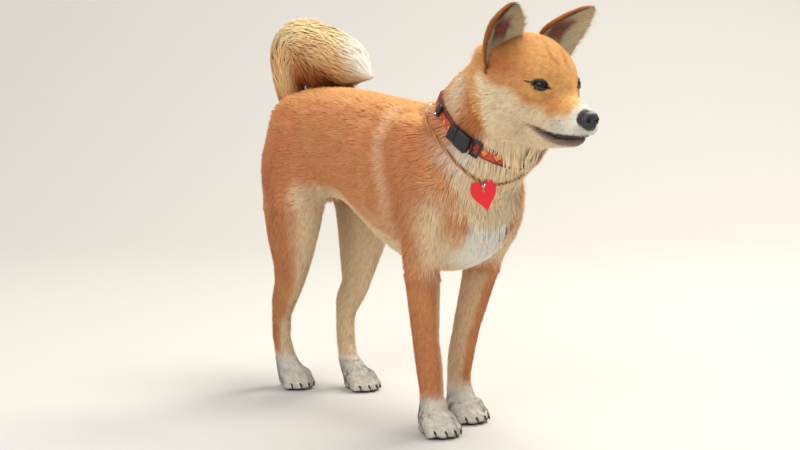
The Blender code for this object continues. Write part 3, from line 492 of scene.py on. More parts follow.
def brush_colour(points, ways_out):
    """The tail: pale gold above, nearly white at its end, orange along the stem, and painted shade below and
    inside its curl, orange darkening to brown.
    """
    past = points - np.array(TAIL_ROOT)
    along = past[:, 0] * math.cos(TAIL_HEADING) + past[:, 1] * math.sin(TAIL_HEADING)
    colour = np.tile(BRUSH_PALE, (len(points), 1))
    from_middle = 0.055 - np.abs(past[:, 2] - 0.045) - 0.4 * np.abs(along - 0.035)
    colour = paint(colour, ORANGE, 0.45 * ramp(from_middle, 0, 0.03))
    colour = paint(colour, GOLD, 0.35 * ramp(ripple(points, 0.05, 61), -0.2, 0.9))
    # The underside is painted orange, then brown where it faces down most: painted shade under the brush.
    colour = paint(colour, ORANGE, 0.85 * ramp(-ways_out[:, 2], 0.05, 0.55) * ramp(0.10 - along, 0, 0.05))
    colour = paint(colour, TAIL_SHADOW_BROWN, 0.9 * ramp(-ways_out[:, 2], 0.45, 0.95) * ramp(0.085 - along, 0, 0.03))
    stem = ramp(0.030 - past[:, 2], 0, 0.030) * ramp(0.05 - along, 0, 0.03)
    colour = paint(colour, ORANGE, 0.8 * stem)
    # Inside the curl, low over the back, is painted brown: painted shadow between the brush and the back.
    inner = ramp(along, 0.0, 0.02) * ramp(0.050 - past[:, 2], 0, 0.02) * ramp(0.075 - along, 0, 0.03)
    colour = paint(colour, TAIL_SHADOW_BROWN, 0.8 * inner)
    return paint(colour, WHITE, 0.9 * ramp(along + 0.35 * past[:, 2], 0.092, 0.120))


# How deep the skin lies under the outside of the coat, and how long its hair is, by region
COAT_DEPTH = {"torso": 0.0038, "neck": 0.0046, "head": 0.0014, "foreleg": 0.0018, "hind_leg": 0.0024,
              "paw": 0.0009}
HAIR_LENGTH = {"torso": 0.0112, "neck": 0.0145, "head": 0.0042, "foreleg": 0.0066, "hind_leg": 0.0080,
               "paw": 0.0036, "tail": 0.0120}
# What is added on the back, behind the head, on the brow, the rump and the chest
BACK_HAIR, NAPE_HAIR, BROW_HAIR, RUMP_HAIR, CHEST_HAIR = 0.0020, 0.0085, 0.0010, 0.0060, 0.0040
NAPE_DEPTH = 0.0022
# Rounds of smoothing, and how often the ways of the hair are laid flat between them
SMOOTHING = {"regions": 12, "body": 5, "face": 2, "depth": 6, "body again": 6, "face again": 1, "lengths": 3,
             "ways": 6, "turns of the ways": 4}
# The pale band behind the shoulder: how far forward it lies at each height
BAND_Z = [0.249, 0.286, 0.321, 0.349, 0.370, 0.379]
BAND_X = [0.021, 0.030, 0.018, 0.003, -0.005, -0.021]
CHEST_SPOTS = (((0.116, 0.067, 0.268), 0.017), ((0.110, 0.065, 0.241), 0.017), ((0.100, 0.052, 0.212), 0.018))
CHEST_Z = [0.20, 0.25, 0.28, 0.30, 0.33]
CHEST_HALF_WIDTH = [0.030, 0.027, 0.026, 0.042, 0.052]
# The cheek's cream: its upper edge by reach forward, and its rear edge by height
CHEEK_X = [-0.10, -0.069, -0.043, -0.025, -0.0144, 0.0, 0.013, 0.03, 0.05]
CHEEK_TOP = [0.016, 0.0135, 0.0030, -0.0025, -0.0090, -0.021, -0.029, -0.031, -0.028]
CHEEK_Z = [-0.069, -0.039, -0.012, 0.011]
CHEEK_REAR = [-0.0615, -0.048, -0.061, -0.070]
MUZZLE_SPOTS = (((0.0110, 0.022, -0.0130), 0.0062), ((0.0170, 0.019, -0.0215), 0.0062),
                ((0.0150, 0.022, -0.0300), 0.0058))


def by_region(share, values):
    """A value for each point of the skin, from its shares of the regions."""
    return sum(share[name] * value for name, value in values.items())


class Skin:
    """The skin's points with what each of them carries: its regions, colour and lie of hair."""

    def __init__(self):
        shell, owner = flesh_shell()
        tree = tree_of([shell])
        fuse(shell, SKIN_VOXEL)
        bake_modifiers(shell)
        self.obj = shell
        mesh = shell.data
        points, _ = arrays_of(mesh)
        names = FLESH + ["tail"]
        nearest = np.array([owner[tree.find_nearest(p)[2]] for p in points.astype(float)])
        self.table = neighbours_of(mesh)
        shares = spread(np.eye(len(names))[nearest], self.table, SMOOTHING["regions"])
        self.share = {name: shares[:, i] for i, name in enumerate(names)}
        for pair in ("foreleg", "hind_leg", "front_paw", "hind_paw"):
            self.share[pair] = self.share[pair + "_left"] + self.share[pair + "_right"]
        self.share["paw"] = self.share["front_paw"] + self.share["hind_paw"]
        self.sink(points)
        self.shape_fields()
        self.colour = self.markings()

    def sink(self, points):
        """Moves the skin in under the coat and smooths it."""
        share = self.share
        points = blend(spread(points, self.table, SMOOTHING["body"]),
                       spread(points, self.table, SMOOTHING["face"]), share["head"])
        move_points(self.obj.data, points)
        points, normals = arrays_of(self.obj.data)
        local = in_head(points)
        nape = share["head"] * ramp(-local[:, 0], 0.030, 0.065)
        depth = by_region(share, COAT_DEPTH) + NAPE_DEPTH * nape
        depth *= ramp(both_lids(points), 1.2, 2.6)
        depth *= ramp(points[:, 2], 0.001, 0.012)
        depth = spread(depth, self.table, SMOOTHING["depth"])
        points = points - normals * depth[:, None]
        points = blend(spread(points, self.table, SMOOTHING["body again"]),
                       spread(points, self.table, SMOOTHING["face again"]), share["head"])
        move_points(self.obj.data, points)
        self.points, self.normals = arrays_of(self.obj.data)
        self.depth = depth
        self.local = in_head(self.points)

    def shape_fields(self):
        """The lie of the hair, its length and its lift, everywhere on the skin."""
        share, points, normals, local = self.share, self.points, self.normals, self.local
        side = np.sign(points[:, 1])
        count = len(points)

        def constant(way):
            return np.tile(np.array(way, float), (count, 1))

        def sideways(out, up):
            return np.column_stack([-np.ones(count), out * side, up * np.ones(count)])

        torso = constant((-1, 0, -0.18))
        low = ramp(0.33 - points[:, 2], 0, 0.06)
        shoulder = ramp(points[:, 0], -0.005, 0.05) * low
        thigh = ramp(-points[:, 0], 0.185, 0.23) * low
        torso = blend(torso, constant((-0.45, 0, -0.9)), shoulder)
        torso = blend(torso, constant((-0.35, 0, -0.95)), thigh)
        chest = ramp(points[:, 0], 0.10, 0.13) * ramp(normals[:, 0], 0.2, 0.6)
        torso = blend(torso, constant((-0.1, 0, -1)), chest)
        throat = ramp(normals[:, 0] * 0.8 - normals[:, 2] * 0.6, 0.1, 0.6)
        neck = blend(constant((-0.80, 0, -0.60)), constant((-0.15, 0, -1)), throat)
        cheek = ramp(-local[:, 2], 0.005, 0.03) * ramp(-local[:, 0], 0.0, 0.03)
        brow = ramp(local[:, 2], 0.0, 0.02) * ramp(-local[:, 0], -0.02, 0.02)
        head = blend(sideways(0.10, 0), sideways(0.1, -0.55), cheek)
        head = head_ways(blend(head, sideways(0.25, 0.5), brow))
        leg = constant((-0.08, 0, -1))
        paw = constant((0.85, 0, -0.5))
        near = np.argmin(((points[:, None, :] - TAIL.points[None]) ** 2).sum(2), axis=1)
        tail = unit(np.gradient(TAIL.points, axis=0)[near])
        way = (torso * share["torso"][:, None] + neck * share["neck"][:, None] + head * share["head"][:, None]
               + leg * (share["foreleg"] + share["hind_leg"])[:, None] + paw * share["paw"][:, None]
               + tail * share["tail"][:, None])
        for _ in range(SMOOTHING["turns of the ways"]):
            way = spread(along_skin(way, normals), self.table, SMOOTHING["ways"])
        self.way = along_skin(way, normals)

        back = ramp(normals[:, 2], 0.2, 0.8)
        length = by_region(share, {**HAIR_LENGTH, "torso": HAIR_LENGTH["torso"] + BACK_HAIR * back})
        length += share["head"] * NAPE_HAIR * ramp(-local[:, 0], 0.026, 0.062)
        length += share["head"] * BROW_HAIR * ramp(-local[:, 0], -0.02, 0.02)
        length += share["torso"] * RUMP_HAIR * ramp(-points[:, 0], 0.23, 0.28)
        length += share["torso"] * CHEST_HAIR * chest
        self.length = spread(length, self.table, SMOOTHING["lengths"])
        self.lift = self.depth * 1.05 + ROOT_DEPTH

    def markings(self):
        """The coat's colour everywhere on the skin."""
        points = self.points
        colour = np.tile(RED_TAN, (len(points), 1))
        colour = paint(colour, DEEP_RED, 0.22 * ramp(ripple(points, 0.09, 3), 0.1, 1.0))
        colour = paint(colour, GOLD, 0.25 * ramp(ripple(points, 0.07, 5), 0.2, 1.1))
        folded = mirrored(points)
        colour = self.trunk_colour(colour, folded)
        colour = self.neck_colour(colour, folded)
        colour = self.face(colour)
        colour = self.leg_colour(colour, folded)
        # The skin of the tail shows between the locks of its brush
        return blend(colour, brush_colour(points, self.normals), self.share["tail"])

    def trunk_colour(self, colour, folded):
        """A back painted golden where it faces up, as painted light, red sides with a pale band, a cream
        belly and a white chest.
        """
        share, normals = self.share, self.normals
        x, across, z = folded.T
        trunk = share["torso"] + share["neck"]
        # The trunk is painted golden where it faces up: painted light on the back.
        colour = paint(colour, GOLD, 0.45 * trunk * ramp(normals[:, 2], 0.55, 0.95))
        from_band = x - np.interp(z, BAND_Z, BAND_X)
        side_on = ramp(across, 0.010, 0.030) * ramp(z, 0.235, 0.27)
        for tint, strength, centre, width in ((DEEP_RED, 0.30, 0.028, 0.014), (DEEP_RED, 0.25, -0.030, 0.016),
                                              (PINK_CREAM, 0.46, 0.0, 0.0135)):
            near = np.exp(-((from_band - centre) / width) ** 2)
            colour = paint(colour, tint, strength * trunk * side_on * near)
        flank = blob(folded, (-0.215, 0.070, 0.320), (0.030, 0.050, 0.050))
        colour = paint(colour, DEEP_RED, 0.40 * trunk * flank)
        colour = paint(colour, CREAM, trunk * ramp(-normals[:, 2], 0.30, 0.70) * ramp(0.29 - z, 0, 0.03))
        for place, size in CHEST_SPOTS:
            colour = paint(colour, CREAM, 0.85 * blob(folded, place, (size, size, size * 1.3)))
        white_half = np.interp(z, CHEST_Z, CHEST_HALF_WIDTH)
        chest = (ramp(white_half - across, -0.008, 0.008) * ramp(x, 0.075, 0.105)
                 * ramp(0.352 - z, -0.01, 0.01))
        return paint(colour, WHITE, trunk * chest)

    def neck_colour(self, colour, folded):
        """A pale nape, orange sides and a cream throat."""
        normals = self.normals
        above = self.share["neck"] + self.share["head"]
        nape = blob(folded, (0.143, 0.044, 0.410), (0.026, 0.046, 0.032))
        colour = paint(colour, CREAM, 0.95 * above * nape)
        side = blob(folded, (0.178, 0.050, 0.374), (0.021, 0.034, 0.036))
        colour = paint(colour, (ORANGE + DEEP_RED) / 2, above * 0.9 * side)
        throat = ramp(normals[:, 0] * 0.5 - normals[:, 2] * 0.85, 0.25, 0.60)
        return paint(colour, CREAM, above * throat)

    def leg_colour(self, colour, folded):
        """Pale inner sides, white feet and grey pads."""
        share, normals = self.share, self.normals
        x, _, z = folded.T
        inward = -normals[:, 1] * np.sign(self.points[:, 1])
        fore = share["foreleg"] * ramp(inward, 0.10, 0.65)
        colour = paint(colour, PINK_CREAM, 0.85 * fore)
        hind = share["hind_leg"] * ramp(np.maximum(inward, normals[:, 0] * 0.9), 0.20, 0.75)
        colour = paint(colour, CREAM, 0.85 * hind)
        stifle = (share["torso"] * ramp(-x, 0.14, 0.17) * ramp(normals[:, 0], 0.3, 0.7)
                  * ramp(0.285 - z, 0, 0.02))
        colour = paint(colour, CREAM, 0.85 * stifle)
        colour = paint(colour, PAW_WHITE, ramp(0.058 - z, 0, 0.022))
        return paint(colour, PAD_GREY, ramp(-normals[:, 2], 0.5, 0.8) * ramp(0.006 - z, 0, 0.003))

    def face(self, colour):
        """The head's markings, with a painted highlight on the top of the muzzle, placed from the point
        between the eyes.
        """
        head = self.share["head"]
        folded = mirrored(self.local)
        x, _, z = folded.T
        mask = np.tile(0.35 * ORANGE + 0.65 * GOLD, (len(x), 1))
        mask = paint(mask, DEEP_RED, 0.25 * ramp(ripple(self.points, 0.020, 9), 0.2, 1.0))
        temple = blob(folded, (-0.035, 0.046, 0.020), (0.026, 0.020, 0.018))
        mask = paint(mask, DEEP_RED, 0.75 * temple)
        cheek_top = np.interp(x, CHEEK_X, CHEEK_TOP)
        cheek_rear = np.interp(z, CHEEK_Z, CHEEK_REAR)
        cream = ramp(cheek_top - z, -0.003, 0.008) * ramp(x - cheek_rear, -0.005, 0.004)
        mask = paint(mask, CREAM, cream)
        mask = paint(mask, WHITE, ramp(-z, 0.030, 0.045) * ramp(x, 0.000, 0.030))
        # The top of the muzzle is painted paler gold: a painted highlight.
        bridge_highlight = blob(folded, (0.030, 0, -0.018), (0.020, 0.009, 0.010))
        mask = paint(mask, GOLD, 0.75 * bridge_highlight)
        mask = paint(mask, WHITE, ramp(x, 0.036, 0.046) * ramp(-0.018 - z, -0.003, 0.004))
        mask = paint(mask, ORANGE, 0.80 * blob(folded, (-0.0075, 0.037, -0.0150), (0.0065, 0.0080, 0.0060)))
        for place, size in MUZZLE_SPOTS:
            mask = paint(mask, ORANGE * 0.95, 0.70 * blob(folded, place, (size, 0.0090, size)))
        mouth = np.interp(x, MOUTH_X, MOUTH_Z)
        below = mouth - z
        jaw = ramp(x, -0.016, -0.011) * ramp(below, -0.001, 0.001)
        thick = np.interp(x, MOUTH_BAND_X, MOUTH_BAND)
        mask = paint(mask, LIP_GREY, jaw * ramp(thick * 1.9 - below, 0, 0.004))
        mask = paint(mask, LIP_DARK, jaw * ramp(thick - below, 0, 0.003))
        mask = paint(mask, LIP_DARK, 0.9 * ramp(x, -0.016, -0.012) * np.exp(-(below / 0.0014) ** 2))
        for side in SIDES.values():
            rim = almond_distance(self.points, side)
            mask = paint(mask, LID_DARK, 1 - ramp(rim, 1.15, 1.55))
        return blend(colour, mask, head)


def unwrap(obj):
    """A map for baking the materials to, an unwrap of the skin's own shape."""
    bpy.context.view_layer.objects.active = obj
    for other in bpy.context.selected_objects:
        other.select_set(False)
    obj.select_set(True)
    obj.data.uv_layers.new(name="OFBake")
    bpy.ops.object.mode_set(mode="EDIT")
    bpy.ops.mesh.select_all(action="SELECT")
    bpy.ops.uv.smart_project(angle_limit=math.radians(66), island_margin=0.001)
    bpy.ops.object.mode_set(mode="OBJECT")


def triangles_of(mesh):
    """Corner indices of every triangle: its vertices, and its map places."""
    mesh.calc_loop_triangles()
    corners = read(mesh.loop_triangles, "vertices", 3, np.int32)
    loops = read(mesh.loop_triangles, "loops", 3, np.int32)
    return corners, read(mesh.uv_layers["OFBake"].uv, "vector", 2)[loops]


# The coat
# How deep tufts are rooted, their section in shares of their width, and the size of a tuft's patch of the map
ROOT_DEPTH = 0.0004
TUFT_SECTION = [(-0.5, 0.0), (0.5, 0.0), (0.0, 0.22)]
PATCH = 0.003
TUFT_SHADING_SIDE, TUFT_SHADING_BACK = 0.4, 0.15
LOWEST_HAIR = 0.0004
DARKEST, BRIGHTEST = 0.004, 0.97
PIECE_LIMIT = 195000


def scatter(corners, points, density):
    """Random places on triangles: which triangle, and the share of each of its corners."""
    a, b, c = points[corners[:, 0]], points[corners[:, 1]], points[corners[:, 2]]
    area = np.linalg.norm(np.cross(b - a, c - a), axis=1) / 2
    wanted = np.cumsum(area * density[corners].mean(axis=1))
    count = int(wanted[-1])
    marks = np.arange(count) + RANDOM.uniform(0, 1, count)
    which = np.minimum(np.searchsorted(wanted, marks), len(corners) - 1)
    u, v = RANDOM.uniform(0, 1, count), RANDOM.uniform(0, 1, count)
    over = u + v > 1
    u[over], v[over] = 1 - u[over], 1 - v[over]
    return which, np.column_stack([1 - u - v, u, v])


def bowed(roots, normals, ways, lengths, lifts, rings, bow=2.0):
    """Spines of tufts that rise from their roots and bend over to lie along the skin."""
    steps = np.linspace(0, 1, rings + 1)
    rise = 1 - (1 - steps) ** bow
    spines = (roots[:, None] + ways[:, None] * lengths[:, None, None] * steps[None, :, None]
              + normals[:, None] * lifts[:, None, None] * rise[None, :, None])
    spines[:, 0] -= normals * ROOT_DEPTH
    return spines, np.repeat(normals[:, None], rings + 1, axis=1)


def tuft_mesh(name, spines, outs, widths, colours, tips, places, look):
    """Tapered tufts of solid mesh along their spines, each with its own patch of the map."""
    count, rings = len(spines), spines.shape[1] - 1
    stride = 3 * rings + 1
    points = np.empty((count, stride, 3))
    shading = np.empty((count, stride, 3))
    paints = np.empty((count, stride, 3))
    spots = np.empty((count, stride, 2))
    for k in range(rings):
        s = k / rings
        along = unit(spines[:, k + 1] - spines[:, k])
        sides = unit(np.cross(outs[:, k], along))
        width = widths * (1 - s) ** 0.6
        for j, (across, up) in enumerate(TUFT_SECTION):
            i = 3 * k + j
            points[:, i] = (spines[:, k] + sides * (width * across)[:, None]
                            + outs[:, k] * (width * up)[:, None])
            shading[:, i] = outs[:, k] + sides * across * TUFT_SHADING_SIDE - along * TUFT_SHADING_BACK
            paints[:, i] = colours * (1 - s) + tips * s
            spots[:, i] = places + PATCH * np.array([across * 0.6, s])
    points[:, -1] = spines[:, -1]
    shading[:, -1] = outs[:, -1]
    paints[:, -1] = tips
    spots[:, -1] = places + np.array([0, PATCH])
    points[:, :, 2] = np.maximum(points[:, :, 2], LOWEST_HAIR)
    faces = [(0, 2, 1)]
    for k in range(rings - 1):
        for j in range(3):
            a, b = 3 * k + j, 3 * k + (j + 1) % 3
            faces += [(a, b, b + 3), (a, b + 3, a + 3)]
    for j in range(3):
        faces.append((3 * (rings - 1) + j, 3 * (rings - 1) + (j + 1) % 3, stride - 1))
    faces = np.array(faces)
    triangles = (faces[None] + (np.arange(count) * stride)[:, None, None]).reshape(-1, 3)
    mesh = bpy.data.meshes.new(name)
    mesh.vertices.add(count * stride)
    write(mesh.vertices, "co", points)
    mesh.loops.add(triangles.size)
    write(mesh.loops, "vertex_index", triangles, np.int32)
    mesh.polygons.add(len(triangles))
    write(mesh.polygons, "loop_start", np.arange(0, triangles.size, 3), np.int32)
    write(mesh.polygons, "use_smooth", np.ones(len(triangles)), bool)
    mesh.update(calc_edges=True)
    store_colour(mesh, paints.reshape(-1, 3))
    layer = mesh.uv_layers.new(name="OFBake")
    write(layer.uv, "vector", spots.reshape(-1, 2)[triangles.ravel()])
    bend = mesh.attributes.new("custom_normal", "FLOAT_VECTOR", "POINT")
    write(bend.data, "vector", unit(shading.reshape(-1, 3)))
    finish_piece(linked(name, mesh), look)


def coat_pieces(name, values, look):
    """Tufts in as many pieces as the limit on faces asks for."""
    count, rings = len(values["spines"]), values["spines"].shape[1] - 1
    # A tuft has one face at its root, three at its tip and six for each ring between
    each = 1 + 3 + 6 * (rings - 1)
    pieces = math.ceil(count * each / PIECE_LIMIT)
    for k in range(pieces):
        part = slice(count * k // pieces, count * (k + 1) // pieces)
        rows = {key: value[part] for key, value in values.items()}
        tuft_mesh(f"{name}_{k + 1}", look=look, **rows)
    print("coat", name, count, "tufts", count * each, "faces")


# Large odd numbers that turn a cell's three counts into one key
CELL_KEYS = (73856093, 19349663, 83492791)


def gather(tips, roots, cell, share):
    """Pulls the tips of tufts that grow close together towards each other, as hair clumps."""
    jitter = np.column_stack([ripple(roots, 0.011, 21 + i) for i in range(3)]) * cell * 0.6
    cells = np.floor((roots + jitter) / cell).astype(np.int64)
    key = cells[:, 0] * CELL_KEYS[0] ^ cells[:, 1] * CELL_KEYS[1] ^ cells[:, 2] * CELL_KEYS[2]
    _, group = np.unique(key, return_inverse=True)
    number = np.bincount(group)
    middle = np.column_stack([np.bincount(group, tips[:, i]) / number for i in range(3)])
    return tips + (middle[group] - tips) * share


def share_out(corners, which, weights):
    """A way of reading values of a skin's points at places on its triangles."""
    def read(values):
        return weighted(values[corners[which]], weights)
    return read


# Lines along the brow's furrows that are painted darker red, painted shade in the creases, and the size of
# their marks
BROW_FURROW_SHADE = (((-0.0176, -0.0031, 0.0456), (0.0001, -0.0093, 0.0322), (0.0094, -0.0056, 0.0216)),
                ((-0.0030, 0.0089, 0.0349), (0.0076, 0.0043, 0.0245), (0.0148, 0.0041, 0.0140)))
FURROW_SHADE_SIZE = (0.0032, 0.0019, 0.0032)
# Where the sides of the muzzle are painted greyer, as painted shade, and how far it spreads
SHADED_WHISKER_PAD, SHADED_WHISKER_PAD_SIZE = (0.026, 0.014, -0.044), (0.014, 0.016, 0.008)
WHISKER_SPOTS = [(x, z) for row, z in enumerate((-0.0375, -0.0420, -0.0465))
                 for x in (0.016 + 0.002 * row, 0.0225 + 0.002 * row, 0.029 + 0.002 * row,
                           0.0355 + 0.001 * row)]
WHISKER_SPOT_RADIUS = 0.0009
# Dark strokes at the eyes' corners stand for lashes and for painted shadow of the lids.
# How far along the eye's slit, how high and how wide: behind it, then before it
EYE_CORNERS = ([(0.0088 + 0.0010 * k, 0.0001 * k, 0.0022 - 0.0002 * k) for k in range(7)]
               + [(-0.0088 - 0.0009 * k, -0.0005 * k, 0.0022 - 0.0003 * k) for k in range(4)])


def fine_marks(colour, points, head):
    """What is too fine for the skin's own points: whisker spots, painted shade in the brow's furrows and on
    the whisker pads, and the eyes' corners, dark for lashes and painted lid shadow.
    """
    local = in_head(points)
    folded = mirrored(local)
    # Painted shade in the brow's furrows.
    for line in BROW_FURROW_SHADE:
        for point in catmull(line, 6):
            colour = paint(colour, DEEP_RED * 0.80, 0.30 * head * blob(local, point, FURROW_SHADE_SIZE))
    # The sides of the muzzle are painted greyer: painted shade.
    colour = paint(colour, LIP_GREY, 0.34 * head * blob(folded, SHADED_WHISKER_PAD, SHADED_WHISKER_PAD_SIZE))
    for x, z in WHISKER_SPOTS:
        away = np.hypot(folded[:, 0] - x, folded[:, 2] - z)
        colour = paint(colour, LIP_DARK, 0.60 * head * (away < WHISKER_SPOT_RADIUS))
    # Dark strokes at the eyes' corners: lashes and painted lid shadow.
    for side in SIDES.values():
        seen = seen_from(lid_frame(side), points)
        for reach, rise, thick in EYE_CORNERS:
            away = np.hypot(seen[:, 1] - side * reach, (seen[:, 2] - rise) * 1.2)
            colour = paint(colour, LID_DARK, 0.95 * head * (seen[:, 0] > 0) * (away < thick))
    return colour


# Tufts: their width in shares of their length, its limits, and how many lie over each place
TUFT_WIDTH, NARROWEST, WIDEST = 0.148, 0.0008, 0.0019
TRUNK_LAYERS, HEAD_LAYERS, LEG_LAYERS, PAW_LAYERS = 4.4, 3.7, 3.7, 3.4
FACE_LOCK, BODY_LOCK, LOCK_PULL = 0.0035, 0.0070, 0.26
# Where the throat's ruff falls over the strap, and how far it stands off the skin there
RUFF_START, RUFF_FLOOR, RUFF_LIFT, RUFF_LENGTH, RUFF_COPIES = 0.199, 0.300, 0.0088, 0.0228, 12
# Tufts in this part of the neck are cut where they meet what the dog wears
WORN_REAR, WORN_FRONT, WORN_FLOOR = 0.0, 0.25, 0.25
START_DEPTH, PAST_TIP, WORN_CLEARANCE, WORN_COVER, SHORTEST_SHARE = 0.001, 0.001, 0.0008, 0.008, 0.25


def coat_density(skin, width):
    """How many tufts grow on each square metre: none on the eyes, the soles and the lips."""
    share, points, local = skin.share, skin.points, skin.local
    layers = (TRUNK_LAYERS * (share["torso"] + share["neck"]) + HEAD_LAYERS * share["head"]
              + LEG_LAYERS * (share["foreleg"] + share["hind_leg"])
              + PAW_LAYERS * share["paw"]) * ramp(0.9 - share["tail"], 0, 0.5)
    density = layers / (skin.length * width * 0.5)
    density *= ramp(both_lids(points), 1.25, 1.45)
    density *= 1 - ramp(-skin.normals[:, 2], 0.4, 0.7) * ramp(0.012 - points[:, 2], 0, 0.006)
    below = np.interp(local[:, 0], MOUTH_X, MOUTH_Z) - local[:, 2]
    lip = np.interp(local[:, 0], MOUTH_BAND_X, MOUTH_BAND) * 0.8
    bare = (share["head"] * ramp(local[:, 0], -0.016, -0.012) * ramp(below, -0.0014, -0.0006)
            * ramp(lip - below, 0, 0.002))
    return density * (1 - bare)


def fit_to_worn(worn, roots, way, normal, length, lift):
    """Cuts tufts short of what the dog wears, and tells which to keep and which fall over the strap."""
    keep = np.ones(len(roots), bool)
    ruff = np.zeros(len(roots), bool)
    near_worn = (roots[:, 0] > WORN_REAR) & (roots[:, 2] > WORN_FLOOR) & (roots[:, 0] < WORN_FRONT)
    for i in np.nonzero(near_worn)[0]:
        tip = roots[i] + way[i] * length[i] + normal[i] * lift[i]
        start = Vector(roots[i] - normal[i] * START_DEPTH)
        travel = Vector(tip) - start
        hit = worn.ray_cast(start, travel.normalized(), travel.length + PAST_TIP)
        if hit[0] is not None and roots[i, 0] > RUFF_START and roots[i, 2] > RUFF_FLOOR:
            ruff[i] = True
        elif hit[0] is not None:
            cut = (hit[3] - WORN_CLEARANCE) / travel.length
            if cut < SHORTEST_SHARE:
                keep[i] = False
            length[i] *= cut
            lift[i] *= cut
        elif worn.ray_cast(start, Vector(normal[i]), WORN_COVER)[0] is not None:
            keep[i] = False
    return keep, ruff


def grow(skin, corners, places, worn):
    """All the coat's tufts over the skin."""
    width = np.clip(skin.length * TUFT_WIDTH, NARROWEST, WIDEST)
    which, weights = scatter(corners, skin.points, coat_density(skin, width))
    at = share_out(corners, which, weights)
    roots, normal, way = at(skin.points), unit(at(skin.normals)), at(skin.way)
    count = len(roots)
    turn = 0.18 * ripple(roots, 0.045, 31) + 0.10 * ripple(roots, 0.014, 32) + RANDOM.normal(0, 0.12, count)
    way = along_skin(way, normal)
    side = np.cross(normal, way)
    way = way * np.cos(turn)[:, None] + side * np.sin(turn)[:, None]
    length = at(skin.length) * RANDOM.uniform(0.65, 1.25, count)
    lift = at(skin.lift) * RANDOM.uniform(0.55, 1.22, count)
    wide = at(width) * RANDOM.uniform(0.75, 1.3, count)
    place = weighted(places[which], weights)

    # Tips gather into small locks
    tips = roots + way * length[:, None] + normal * lift[:, None]
    cell = np.where(at(skin.share["head"]) > 0.5, FACE_LOCK, BODY_LOCK)
    for size in np.unique(cell):
        chosen = cell == size
        tips[chosen] = gather(tips[chosen], roots[chosen], size, LOCK_PULL)
    reach = tips - roots
    lift = (reach * normal).sum(1)
    flat = reach - normal * lift[:, None]
    length = np.linalg.norm(flat, axis=1)
    way = unit(flat)
    keep, ruff = fit_to_worn(worn, roots, way, normal, length, lift)

    colour = at(skin.colour)
    bright = 1 + 0.08 * ripple(roots, 0.006, 41) + RANDOM.normal(0, 0.055, count)
    tan = ramp(colour[:, 0] - colour[:, 2], 0.25, 0.45)
    colour = paint(colour, DEEP_RED, 0.32 * tan * ramp(ripple(roots, 0.0045, 42), 0.3, 1.2))
    colour = fine_marks(colour * bright[:, None], roots, at(skin.share["head"]))
    colour = np.clip(colour, DARKEST, BRIGHTEST)
    # Each tuft is painted darker and redder at its root, as painted shade deep in the coat, and lighter at
    # its tip, as painted light.
    rooted = colour * np.array([0.90, 0.84, 0.78])
    tip = np.clip(colour * 1.06, 0, BRIGHTEST)
    plain = np.nonzero(~ruff & keep)[0]
    over = np.repeat(np.nonzero(ruff)[0], RUFF_COPIES)
    length[ruff] = np.maximum(length[ruff] * 1.15, RUFF_LENGTH)
    shift = (way[over] * RANDOM.uniform(-0.009, 0.003, len(over))[:, None]
             + np.cross(normal[over], way[over]) * RANDOM.normal(0, 0.0022, len(over))[:, None])
    stand = RUFF_LIFT * RANDOM.uniform(0.70, 1.15, len(over))
    for name, chosen, rings, bow, start, rise in (("coat_ruff", over, 3, 3.0, roots[over] + shift, stand),
                                                  ("coat", plain, 1, 2.0, roots[plain], lift[plain])):
        spines, outs = bowed(start, normal[chosen], way[chosen], length[chosen], rise, rings, bow)
        coat_pieces(name, {"spines": spines, "outs": outs, "widths": wide[chosen], "colours": rooted[chosen],
                           "tips": tip[chosen], "places": place[chosen]}, FUR)


BRUSH_TUFTS, BRUSH_LENGTH, BRUSH_WIDTH, BRUSH_RINGS = 13500, 0.0250, 0.0023, 3
BRUSH_START, BRUSH_END, BRUSH_RADIUS = 0.020, 0.004, 0.036
UNDER_HANG = 0.028


